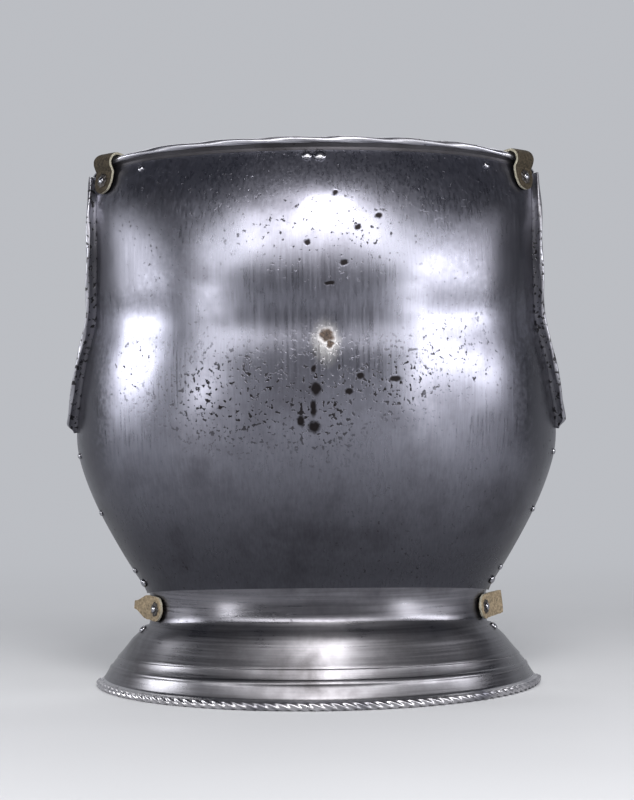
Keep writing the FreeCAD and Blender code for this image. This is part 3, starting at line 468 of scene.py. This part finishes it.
# Nearly black steel in the fillet between a plate and its turned edge: painted shade in the groove
GROOVE_PAINTED_SHADE_STEEL = steel("groove_painted_shade_steel", EVEN, (0.070, 0.068, 0.075), (0.030, 0.028, 0.030), (0.38, 0.52),
                     pits=0.8, shift=6.6)
WAIST_STEEL = steel("waist_steel", LEVEL, (0.185, 0.182, 0.202), (0.095, 0.092, 0.105), (0.22, 0.30),
                    pits=0.3, shift=2.1, streak=0.60)
CULET_STEEL = steel("culet_steel", LEVEL, (0.215, 0.211, 0.226), (0.098, 0.094, 0.100), (0.22, 0.33),
                    pits=0.45, shift=3.3, streak=0.65)
ROPE_STEEL = steel("rope_steel", (120.0, 120.0, 120.0), (0.50, 0.49, 0.51), rough=(0.22, 0.40), pits=0.8,
                   shift=4.7)
INNER_STEEL = steel("inner_steel", (260.0, 260.0, 20.0), (0.26, 0.25, 0.26), (0.12, 0.10, 0.09),
                    (0.42, 0.62), pits=1.0, shift=5.9)
RIVET_STEEL = plain("rivet_steel_look", (0.17, 0.17, 0.185), (0.38, 0.38, 0.41), 0.17, 900.0, 0.0001, 0.35)
ROVE_IRON = plain("rove_look", (0.10, 0.085, 0.075), (0.26, 0.24, 0.23), 0.5, 700.0)
DARK_IRON = plain("dark_iron", (0.022, 0.020, 0.020), (0.10, 0.09, 0.085), 0.40, 1400.0, strength=0.6)
LEATHER = leather("leather_face", (0.006, 0.005, 0.004), (0.060, 0.047, 0.030), 0.70, 620.0, 0.15)
LEATHER_TAN = leather("leather_worn", (0.070, 0.054, 0.034), (0.30, 0.232, 0.145), 0.80, 520.0)
LEATHER_EDGE = leather("leather_cut", (0.17, 0.155, 0.115), (0.42, 0.40, 0.32), 0.85, 1300.0)


# Plates

# Rows of points along each straight run of a turned edge
RUN_ROWS = 3


def turned_rows(foot, inner_foot, out, away, sizes, runs, shape):
    """Rows of the turned edge, from the plate's outer face over the bead to its inner face.

    shape: the section in shares of the edge's width, out along the sheet and away from it. It rises to the
    bead, goes around its centre from start to end and then back. The bead is roped: around it run lobes,
    whose wave is a share of its radius, with a spacing along the edge and a hand.
    """
    def row(o, a):
        return foot + out * (o * sizes)[:, None] + away * (a * sizes)[:, None]
    cx, cy = shape["centre"]
    start, end = math.radians(shape["start"]), math.radians(shape["end"])
    ends = [(cx + shape["radius"] * math.cos(t), cy + shape["radius"] * math.sin(t)) for t in (start, end)]
    rows = []
    path = [(0.0, 0.0)] + list(shape["rise"]) + [ends[0]]
    for a, b in zip(path, path[1:]):
        for t in np.linspace(0, 1, RUN_ROWS + 1)[:-1]:
            rows.append(row(a[0] + (b[0] - a[0]) * t, a[1] + (b[1] - a[1]) * t))
    for share in np.linspace(0, 1, shape["rings"]):
        angle = start + (end - start) * share
        fade = 1 - (2 * share - 1) ** 6
        wave = np.cos(shape["lobes"] * angle + 2 * math.pi * shape["hand"] * runs / shape["spacing"])
        wave = np.sign(wave) * np.abs(wave) ** shape.get("sharp", 1.0)
        radius = shape["radius"] * (1 + shape["wave"] * wave * fade)
        rows.append(row(cx + radius * math.cos(angle), cy + radius * math.sin(angle)))
    path = [ends[1]] + list(shape["back"])
    for a, b in zip(path, path[1:]):
        for t in np.linspace(0, 1, RUN_ROWS + 1)[1:]:
            rows.append(row(a[0] + (b[0] - a[0]) * t, a[1] + (b[1] - a[1]) * t))
    rows.append(inner_foot)
    return np.stack(rows)


def length_along(points):
    """Length along a line up to each of its points."""
    steps = np.linalg.norm(np.diff(points, axis=0), axis=1)
    return np.concatenate([[0.0], np.cumsum(steps)])


def turn_grid(foot, inner_foot, size_range, kind, shape, flip_away=False):
    """Turned edge of the neck, of an armhole or, as a rope, of the culet."""
    out = unit(foot - inner_foot)
    tangent = unit(np.gradient(foot, axis=0))
    if kind == "rope":
        out = unit(out * np.array((1.0, 1.0, 0.0)))
        away = np.tile(np.array((0.0, 0.0, 1.0)), (len(foot), 1))
    else:
        away = unit(np.cross(out, tangent)) * (-1 if flip_away else 1)
    runs = length_along(foot)
    share = runs / runs[-1]
    if kind == "neck":
        side = np.abs(2 * share - 1)
        sizes = size_range[0] + (size_range[1] - size_range[0]) * (0.25 * side ** 2 + 0.75 * side ** 8)
    elif kind == "arm":
        sizes = size_range[0] + (size_range[1] - size_range[0]) * share ** 10
        sizes = sizes * (ARM_START + (1 - ARM_START) * smooth(runs / ARM_START_RUN))
    else:
        sizes = np.full(len(foot), size_range[0])
    return turned_rows(foot, inner_foot, out, away, sizes, runs, shape)


def dents(points, strength=1.0):
    """Hammered unevenness of a plate along its normal: wide swells and small dents."""
    swells, small = fbm(points, 70.0, 2, 1.0), fbm(points, 26.0, 2, 2.0)
    return strength * (0.30 * swells + 0.10 * small)


def sheet_grids(levels, angles, depths, push):
    """Points of a plate's two faces, which lie at two depths. angles has one row per level or in all."""
    outside = outer(angles, levels[:, None])
    normal = outward(angles, levels[:, None])
    outside = outside + normal * push(outside)[..., None]
    return outside - normal * depths[0], outside - normal * depths[1]


def back_plate():
    """Plate whose side edges run straight up to a side point and on from there around the armholes."""
    columns, rows, split, fade = 211, 191, 70, 14
    levels = np.concatenate([np.linspace(SEAM, POINT, split + 1)[:-1],
                             np.linspace(POINT, NECK, rows - split)])
    places = np.linspace(-1, 1, columns)
    angles = edge_angle(levels)[:, None] * places[None, :]

    def push(points):
        # Less uneven towards the sides and the neck
        to_side, to_neck = (1 - np.abs(places)) * fade, (NECK - levels) / fade
        return dents(points) * np.minimum(1.0, to_side)[None, :] * np.minimum(1.0, to_neck)[:, None]
    outside, inside = sheet_grids(levels, angles, (0.0, BACK_T), push)
    mesh = Mesh()
    face, edge, back, painted_shade_groove, arm_edge = range(5)
    mesh.grid(outside, slot=face)
    mesh.grid(inside, True, back)
    mesh.grid(np.stack([outside[0], inside[0]]), slot=edge)
    for column in (0, -1):
        mesh.grid(np.stack([outside[:split + 1, column], inside[:split + 1, column]]), slot=edge)
    neck = {"rise": ((0.07, 0.27),), "back": ((-0.07, 0.36),), "centre": (0.42, 0.72), "radius": 0.27,
            "start": -100.0, "end": 205.0, "rings": 19, "lobes": 2, "wave": 0.14, "spacing": NECK_WAVES,
            "hand": 1}
    arm = {"rise": ((0.42, -0.02),), "back": ((0.34, 0.19), (0.0, 0.18), (-0.14, 0.12)),
           "centre": (0.80, 0.12), "radius": 0.19, "start": -100.0, "end": 135.0, "rings": 15, "lobes": 2,
           "wave": 0.20, "spacing": ARM_WAVES}
    edges = [(outside[-1], inside[-1], NECK_TURN, "neck", neck, False)]
    for column, hand, flip in ((0, -1, True), (-1, 1, False)):
        edges.append((outside[split:, column], inside[split:, column], ARM_TURN, "arm",
                      dict(arm, hand=hand), flip))
    for foot, inner_foot, sizes, kind, shape, flip in edges:
        turned_edge = turn_grid(foot, inner_foot, sizes, kind, shape, flip)
        fillet = RUN_ROWS * (len(shape["rise"]) + 1)
        bead = edge if kind == "neck" else arm_edge
        # The groove of a turned edge takes the steel with painted shade
        mesh.grid(turned_edge[:fillet + 1], slot=painted_shade_groove)
        mesh.grid(turned_edge[fillet:], slot=bead)
        for end in (0, -1):
            mesh.fan(turned_edge[:, end], bead)
    mesh.build("back_plate_steel", [STEEL, EDGE_STEEL, INNER_STEEL, GROOVE_PAINTED_SHADE_STEEL, ARM_STEEL], "back",
               ["back_plate"])


def waist_plate():
    """Plain plate behind the two others. Its face takes slot 0, its back slot 1."""
    rows, columns = 61, 241
    levels = np.linspace(CULET_TOP - WAIST_LAP_BOTTOM, SEAM + WAIST_LAP_TOP, rows)
    angles = WAIST_ANGLE * np.linspace(-1, 1, columns)[None, :]

    def push(points):
        return dents(points, 0.3)
    outside, inside = sheet_grids(levels, angles, (BACK_T + LAP, BACK_T + LAP + WAIST_T), push)
    mesh = Mesh()
    mesh.grid(outside)
    mesh.grid(inside, True, 1)
    for pair in ((outside[0], inside[0]), (outside[-1], inside[-1]), (outside[:, 0], inside[:, 0]),
                 (outside[:, -1], inside[:, -1])):
        mesh.grid(np.stack(pair))
    mesh.build("waist_plate_steel", [WAIST_STEEL, INNER_STEEL], "back", ["waist_plate"])


def culet_plate():
    """Flared plate with a bead, a sunken band and a roped edge. Slots: 0 face, 1 rope, 2 back."""
    columns = 721
    profile = [(level, 0.0) for level in np.linspace(ROPE_JOIN, BEAD_BOTTOM, 8)]
    profile += [(BEAD_BOTTOM + (BAND_BOTTOM - BEAD_BOTTOM) * t, -0.5 * BAND_SINK * math.sin(math.pi * t))
                for t in (0.15, 0.3, 0.5, 0.7, 0.85)]
    steps = [(BAND_STEP * t, BAND_SINK * float(smooth(t))) for t in np.linspace(0, 1, 7)]
    profile += [(BAND_BOTTOM + along, sink) for along, sink in steps]
    profile += [(BAND_MIDDLE, BAND_SINK)]
    profile += [(BAND_TOP - along, sink) for along, sink in steps[::-1]]
    profile += [(level, 0.0) for level in np.linspace(BAND_TOP, CULET_TOP, 22)[1:]]
    levels = np.array([level for level, _ in profile])
    sinks = np.array([sink for _, sink in profile])
    angles = CULET_ANGLE * np.linspace(-1, 1, columns)[None, :]
    outside = outer(angles, levels[:, None], sinks[:, None])
    turn = np.radians(angles)
    side = unit(np.stack([DEPTHS[2] * np.sin(turn), -HALF_WIDTHS[2] * np.cos(turn), 0 * turn], -1))
    rise = outward(angles, levels[:, None])[..., 2:]
    lean = side * np.sqrt(1 - rise ** 2) + np.array((0.0, 0.0, 1.0)) * rise
    inside = outside - lean * CULET_T
    mesh = Mesh()
    mesh.grid(outside)
    mesh.grid(inside, True, 2)
    for pair in ((outside[-1], inside[-1]), (outside[:, 0], inside[:, 0]),
                 (outside[:, -1], inside[:, -1])):
        mesh.grid(np.stack(pair))
    reach = float(WIDTH_AT(ROPE_R) - WIDTH_AT(ROPE_JOIN))
    shape = {"rise": (), "back": (), "centre": (reach / ROPE_R, (ROPE_R - ROPE_JOIN) / ROPE_R),
             "radius": 1.0, "start": 112.0, "end": -176.0, "rings": 33, "lobes": 4, "wave": 0.15,
             "spacing": ROPE_STEP, "hand": 1, "sharp": 0.7}
    rope = turn_grid(outside[0], inside[0], (ROPE_R,), "rope", shape)
    mesh.grid(rope, slot=1)
    for end in (0, -1):
        mesh.fan(rope[:, end], 1)
    mesh.build("culet_steel", [CULET_STEEL, ROPE_STEEL, INNER_STEEL], "culet",
               ["culet_plate"])


back_plate()
waist_plate()
culet_plate()


# Rivets, rosettes and straps

# Sides of a rivet, unevenness of its hammered head, and width of its peened tail around the shank
RIVET_SIDES, HAMMERED, TAIL_RIM = 40, 0.012, 0.6
# Section of a rosette: shares of its radius and of its thickness
ROSETTE_R, ROSETTE_T, PETALS, NOTCH = 5.6, 0.9, 7, 0.17
ROSETTE_SECTION = ((0.28, 0.0), (0.28, 0.95), (0.45, 1.05), (0.62, 0.62), (0.80, 0.80), (0.94, 0.62),
                   (1.0, 0.30), (0.97, 0.0), (0.28, 0.0))
# Thickness of a strap, length along which its free end changes its width, and size of its mesh: length of
# a step on a straight run, angle of a step on a bend, points across
STRAP_T, TIP_RUN, RUN_STEP, BEND_STEP, ACROSS = 2.4, 16.0, 0.9, 6.0, 15


class Seat:
    """Place on a plate where a rivet goes through."""

    def __init__(self, angle, level, sunk=0.0):
        self.normal = outward(angle, level)
        self.point = outer(angle, level) - self.normal * sunk
        side = unit(np.cross(np.array((0.0, 0.0, 1.0)), self.normal))
        self.axes = np.stack([side, np.cross(self.normal, side), self.normal])

    def at(self, points, lift):
        """Points given along the seat's own axes, its normal last."""
        return self.point + self.normal * lift + points @ self.axes


def inset(edge, level, distance):
    """Angle at a distance inside the edge, whose own angle is given."""
    return edge - distance / np.linalg.norm(outer(edge, level) - outer(edge - 1.0, level))


def sideways(offset, level):
    """Angle at a sideways distance from the middle."""
    return math.degrees(math.asin(offset / float(WIDTH_AT(level))))


def corner(side, level, distance):
    """Angle at a sideways distance from the corner of neck and armhole."""
    return sideways(side * (float(WIDTH_AT(level)) * math.sin(math.radians(NECK_ANGLE)) - distance), level)


def turned(profile):
    """Grid of points turned about the last axis from pairs of radius and height, not quite round."""
    turn = np.linspace(0, 2 * math.pi, RIVET_SIDES, endpoint=False)
    rows = []
    for radius, up in profile:
        uneven = 1 + HAMMERED * np.cos(3 * turn + 1.3) + HAMMERED * 0.6 * np.cos(5 * turn)
        around = radius * uneven
        rows.append(np.stack([around * np.cos(turn), around * np.sin(turn), up + 0 * turn], -1))
    return np.stack(rows)


def rivet(name, seat, sizes, body):
    """Hammered domed head, shank and peened tail.

    sizes: head radius, head height, shank radius, grip and the head's lift over the plate.
    """
    head, rise, shank, grip, lift = sizes
    bend = np.linspace(0, math.pi / 2, 12)
    dome = [(head * math.cos(t), 0.18 * rise + 0.82 * rise * math.sin(t)) for t in bend[:-1]]
    dome.append((0.02, rise))
    tail = shank + TAIL_RIM
    profile = [(0.02, -grip - 0.8), (tail * 0.6, -grip - 0.72), (tail * 0.93, -grip - 0.4),
               (tail, -grip - 0.1), (tail * 0.97, -grip), (shank, -grip), (shank, 0.0),
               (head * 0.97, 0.0), (head, 0.10 * rise)] + dome
    mesh = Mesh()
    mesh.grid(seat.at(turned(profile), lift), wrap=True)
    mesh.build(name + "_steel", [RIVET_STEEL], body, [name], angle=50.0)


def rosette(name, seat, lift, body):
    """Scalloped washer of dished petals."""
    turn = np.linspace(0, 2 * math.pi, 18 * PETALS, endpoint=False)
    petal = np.abs(np.cos(PETALS / 2 * turn))
    rows = []
    for share, up in ROSETTE_SECTION:
        scallop = 1 - (NOTCH * (1 - petal)) * min(1.0, share * 1.2)
        radius = ROSETTE_R * share * scallop
        ridge = up * ROSETTE_T * (1 + 0.35 * (petal - 0.6) * (share > 0.4) * (up > 0))
        rows.append(np.stack([radius * np.cos(turn), radius * np.sin(turn), ridge], -1))
    mesh = Mesh()
    mesh.grid(seat.at(np.stack(rows), lift), wrap=True)
    mesh.build(name + "_iron", [DARK_IRON], body, [name], angle=50.0)


def strap(name, seat, direction, sizes, moves, tip, faces, seed):
    """Leather strip that starts at its rounded tail.

    sizes: gap under it, length of the tail and width. moves: straight runs, each with the radius and the
    angle of the bend that follows it. tip: share of the width left at the free end. faces: material of the
    two faces. seed: moves its wear and waviness.
    """
    gap, tail, width = sizes
    along = unit(direction - seat.normal * direction.dot(seat.normal))
    side = np.cross(along, seat.normal)
    path, heading, place = [], 90.0, np.array((gap + STRAP_T / 2, -tail))
    for length, radius, bend in moves:
        turn = math.radians(heading)
        way = np.array((math.cos(turn), math.sin(turn)))
        steps = max(2, int(length / RUN_STEP))
        for share in np.linspace(0, 1, steps + 1)[:-1]:
            path.append((place + way * length * share, heading))
        place = place + way * length
        if bend:
            hand = math.copysign(1.0, bend)
            centre = place + hand * radius * np.array((-math.sin(turn), math.cos(turn)))
            steps = max(2, int(abs(bend) / BEND_STEP))
            for share in np.linspace(0, 1, steps + 1):
                turn_now = math.radians(heading + bend * share)
                place = centre - hand * radius * np.array((-math.sin(turn_now), math.cos(turn_now)))
                path.append((place, heading + bend * share))
            path.pop()  # the next run starts there
            heading += bend
    path.append((place, heading))
    middles = np.array([spot for spot, _ in path])
    runs = length_along(middles)
    half = width / 2
    rows = []
    for (spot, direction_now), run in zip(path, runs):
        turn = math.radians(direction_now)
        lift = np.array((math.sin(turn), -math.cos(turn)))
        reach = half if run > half else math.sqrt(max(0.02, half ** 2 - (half - run) ** 2))
        left = runs[-1] - run
        reach_tip = reach * (tip + (1 - tip) * smooth(left / TIP_RUN))
        across = np.linspace(-1, 1, ACROSS)
        worn = (1 + 0.05 * noise.noise(Vector((run * 0.25, seed, 0.0)))
                + 0.03 * noise.noise(Vector((run * 0.9, seed, 3.0))))
        ring = []
        for layer_side in (1, -1):
            for place_across in across * layer_side:
                rounded = STRAP_T / 2 * (1 - 0.30 * abs(place_across) ** 6)
                sag = 0.35 * noise.noise(Vector((run * 0.12, place_across * 1.3, seed + 5.0)))
                offset = spot + lift * (rounded * layer_side + sag)
                ring.append(along * offset[1] + seat.normal * offset[0]
                            + side * place_across * reach_tip * worn)
        rows.append(ring)
    rows = seat.point + np.array(rows)
    mesh = Mesh()
    count = rows.shape[1] // 2
    mesh.grid(rows[:, :count])
    mesh.grid(rows[:, count - 1:count + 1], slot=1)
    mesh.grid(rows[:, count:])
    mesh.grid(rows[:, [-1, 0]], slot=1)
    for end in (0, -1):
        mesh.grid(np.stack([rows[end, :count], rows[end, count:][::-1]]), slot=1)
    mesh.build(name + "_leather", [faces, LEATHER_EDGE], name, [name], angle=60.0, merge=0.02)


BODY_OF = {name: body for name, node in frame["nodes"].items()
           for body, empty in frame["bodies"].items() if node.parent == empty}
# Sizes as in rivet(). Left and right are the wearer's.
NECK_RIVETS = {"left": (4.1, 2.6, 2.0, 2.77, 0.12), "right": (4.8, 2.6, 2.0, 2.77, 0.12)}
SMALL_RIVET = (2.4, 1.7, 1.3, 2.77, 0.12)
WAIST_RIVET, CULET_RIVET = (3.3, 2.2, 1.7, 5.0, 0.45), (3.3, 2.2, 1.7, 5.55, 0.3)
SHOULDER_STRAP_RIVET, WAIST_STRAP_RIVET = (2.6, 1.8, 1.5, 7.85, 5.2), (2.6, 1.8, 1.5, 7.35, 4.9)
# Distance from the middle or the neck corner, and drop below the neck
NECK_RIVET_AT, SHOULDER_RIVET_AT, SHOULDER_STRAP_AT = (4.7, 4.2), (37.824, 5.2), (10.176, 8.4)
# Distance from the side edge, and level
WAIST_RIVET_AT, CULET_RIVET_AT = (8.0, 81.0), (12.64, 45.5)
SIDE_RIVET_INSET, SIDE_RIVET_LEVELS = 6.0, (("lower", 90.5), ("middle", 134.0), ("upper", 177.5))
WAIST_STRAP_LEVEL, WAIST_STRAP_ANGLES = 60.4, {"left": -68.0, "right": 73.0}
SHOULDER_ROSETTE_LIFT, WAIST_ROSETTE_LIFT = 4.3, 4.0
# Sizes, moves and tips as in strap(). The widths are a little more than in the source.
SHOULDER_STRAP, WAIST_STRAP = (1.8, 9.6, 20.6), (1.5, 8.75, 18.2)
SHOULDER_MOVES = ((15.4, 4.0, -36.0), (3.0, 6.5, 124.0), (3.0, 11.0, 30.0), (6.0, 0.0, 0.0))
WAIST_MOVES = ((17.25, 34.0, -12.0), (13.6, 0.0, 0.0))
SHOULDER_TIP, WAIST_TIPS = 0.9, {"left": 0.35, "right": 0.95}

for name, side in (("left", -1), ("right", 1)):
    level = NECK - NECK_RIVET_AT[1]
    rivet("neck_rivet_" + name, Seat(sideways(side * NECK_RIVET_AT[0], level), level), NECK_RIVETS[name],
          "back")
    level = NECK - SHOULDER_RIVET_AT[1]
    rivet("shoulder_rivet_" + name, Seat(corner(side, level, SHOULDER_RIVET_AT[0]), level), SMALL_RIVET,
          "back")
    for place, level in SIDE_RIVET_LEVELS:
        edge = float(LOWER_EDGE_AT((level - SEAM) / (POINT - SEAM)))
        rivet("side_rivet_" + name + "_" + place, Seat(side * inset(edge, level, SIDE_RIVET_INSET), level),
              SMALL_RIVET, "back")
    distance, level = WAIST_RIVET_AT
    rivet("waist_rivet_" + name, Seat(side * inset(SEAM_ANGLE, level, distance), level), WAIST_RIVET,
          "back")
    distance, level = CULET_RIVET_AT
    rivet("culet_rivet_" + name, Seat(side * inset(CULET_ANGLE, level, distance), level), CULET_RIVET,
          BODY_OF["culet_rivet_" + name])
    level = NECK - SHOULDER_STRAP_AT[1]
    seat = Seat(corner(side, level, SHOULDER_STRAP_AT[0]), level)
    rivet("shoulder_strap_rivet_" + name, seat, SHOULDER_STRAP_RIVET,
          BODY_OF["shoulder_strap_rivet_" + name])
    rosette("shoulder_rosette_" + name, seat, SHOULDER_ROSETTE_LIFT, BODY_OF["shoulder_rosette_" + name])
    strap("shoulder_strap_" + name, seat, np.array((0.0, 0.0, 1.0)), SHOULDER_STRAP, SHOULDER_MOVES,
          SHOULDER_TIP, LEATHER, 2.0 + side)
    seat = Seat(WAIST_STRAP_ANGLES[name], WAIST_STRAP_LEVEL, BACK_T + LAP)
    rivet("waist_strap_rivet_" + name, seat, WAIST_STRAP_RIVET, BODY_OF["waist_strap_rivet_" + name])
    rosette("waist_rosette_" + name, seat, WAIST_ROSETTE_LIFT, BODY_OF["waist_rosette_" + name])
    strap("waist_strap_" + name, seat, np.array((0.0, 1.0, 0.0)), WAIST_STRAP, WAIST_MOVES,
          WAIST_TIPS[name], LEATHER_TAN, 7.0 + side)

for node_name, node in frame["nodes"].items():
    if "rove" in node_name:
        node.data.materials.clear()
        node.data.materials.append(ROVE_IRON)


# Stage, light and camera

def lamp(name, place, target, size, power, colour=(1.0, 1.0, 1.0), roll=0.0):
    """Soft rectangular lamp, in metres and watts, rolled about its own axis in degrees."""
    data = bpy.data.lights.new(name, "AREA")
    data.shape = "RECTANGLE"
    data.size, data.size_y = size
    data.energy = power
    data.color = colour
    obj = bpy.data.objects.new(name, data)
    obj.location = place
    aim = (Vector(target) - Vector(place)).to_track_quat("-Z", "Y").to_matrix()
    obj.rotation_euler = (aim @ Matrix.Rotation(math.radians(roll), 3, "Z")).to_euler()
    bpy.context.scene.collection.objects.link(obj)


# Half width, front edge, start and radius of the curve, and the depths between which the glow comes in
SWEEP_SIDE, SWEEP_FRONT, SWEEP_BEND, SWEEP_RADIUS = 4.0, -3.0, 1.0, 1.2
GLOW_FROM = (0.05, 1.3)
FLOOR_DARK, FLOOR_LIGHT = (0.53, 0.538, 0.555), (0.56, 0.568, 0.585)
BACKDROP, SURROUNDINGS = (0.50, 0.513, 0.545, 1.0), (0.030, 0.034, 0.050, 1.0)


def sweep():
    """Floor that curves up into the backdrop, in metres.

    To the camera and in reflections its far part has a glow of its own.
    """
    path = [(y, 0.0) for y in np.linspace(SWEEP_FRONT, SWEEP_BEND, 9)]
    path += [(SWEEP_BEND + SWEEP_RADIUS * math.sin(t), SWEEP_RADIUS - SWEEP_RADIUS * math.cos(t))
             for t in np.linspace(0.1, math.pi / 2, 16)]
    path += [(SWEEP_BEND + SWEEP_RADIUS, z) for z in (1.6, 2.4, 3.4)]
    data = bpy.data.meshes.new("studio_sweep")
    data.from_pydata([(x, y, z) for y, z in path for x in (-SWEEP_SIDE, SWEEP_SIDE)], [],
                     [(2 * i, 2 * i + 1, 2 * i + 3, 2 * i + 2) for i in range(len(path) - 1)])
    data.shade_smooth()
    obj = bpy.data.objects.new("studio_sweep", data)
    bpy.context.scene.collection.objects.link(obj)
    material, tree, shader = nodes_of("stage_pale")
    fac = noise_of(tree, 3.0, 2.0)
    colour = ramp(tree, fac, ((0.3, FLOOR_DARK), (0.7, FLOOR_LIGHT)))
    tree.links.new(colour, shader.inputs["Base Color"])
    shader.inputs["Roughness"].default_value = 0.9
    ray = add(tree, "ShaderNodeLightPath")
    seen = combine(tree, "MAXIMUM", ray.outputs["Is Camera Ray"], ray.outputs["Is Glossy Ray"])
    amount = combine(tree, "MULTIPLY", seen, ease(tree, coordinate(tree, "Y"), *GLOW_FROM))
    glow = add(tree, "ShaderNodeEmission")
    glow.inputs["Color"].default_value = BACKDROP
    blend = add(tree, "ShaderNodeMixShader")
    tree.links.new(amount, blend.inputs[0])
    tree.links.new(shader.outputs[0], blend.inputs[1])
    tree.links.new(glow.outputs[0], blend.inputs[2])
    tree.links.new(blend.outputs[0], tree.nodes["Material Output"].inputs["Surface"])
    data.materials.append(material)


sweep()

world = bpy.data.worlds.new("studio")
bpy.context.scene.world = world
world.use_nodes = True
background = world.node_tree.nodes["Background"]
background.inputs["Color"].default_value = SURROUNDINGS
background.inputs["Strength"].default_value = 1.0

lamp("top_softbox", (0.0, -1.25, 0.98), (0.0, 0.0, 0.30), (1.50, 0.50), 14.0, (1.0, 0.985, 0.98))
lamp("crown", (0.08, -1.10, 1.24), (0.0, -0.1, 0.05), (0.36, 0.32), 9.5, (1.0, 0.985, 0.98))
lamp("wing_left", (-0.92, -1.10, 0.68), (0.0, -0.1, 0.30), (0.80, 0.36), 4.2, roll=33.0)
lamp("wing_right", (0.92, -1.10, 0.68), (0.0, -0.1, 0.30), (0.80, 0.36), 4.2, roll=-33.0)
lamp("left_softbox", (-1.30, -0.06, 0.40), (0.0, 0.0, 0.26), (0.58, 0.35), 7.0, (0.97, 0.98, 1.0))
lamp("right_softbox", (1.17, -0.47, 0.395), (0.0, 0.0, 0.26), (0.86, 0.33), 7.5, (0.98, 0.98, 1.0))
lamp("waist_left", (-1.12, -1.00, 0.13), (0.0, 0.0, 0.07), (0.22, 0.17), 2.0)
lamp("waist_right", (1.08, -1.05, 0.13), (0.0, 0.0, 0.07), (0.22, 0.17), 2.0)
lamp("floor_fill", (0.0, 1.1, 1.7), (0.0, 0.75, 0.0), (2.4, 0.8), 14.0)

# Camera as in the photograph, turned a little about its own axis
LENS, SENSOR, CAMERA_PLACE, CAMERA_ROLL = 87.7, 36.0, (0.0007, -1.4363, 0.21865), -0.58
scene = bpy.context.scene
camera_data = bpy.data.cameras.new("camera")
camera = bpy.data.objects.new("camera", camera_data)
scene.collection.objects.link(camera)
scene.camera = camera
camera_data.lens = LENS
camera_data.sensor_width = SENSOR
camera.location = CAMERA_PLACE
roll = Matrix.Rotation(math.radians(CAMERA_ROLL), 4, "Z")
camera.rotation_euler = (Matrix.Rotation(math.radians(90.0), 4, "X") @ roll).to_euler()
scene.view_settings.view_transform = "Standard"
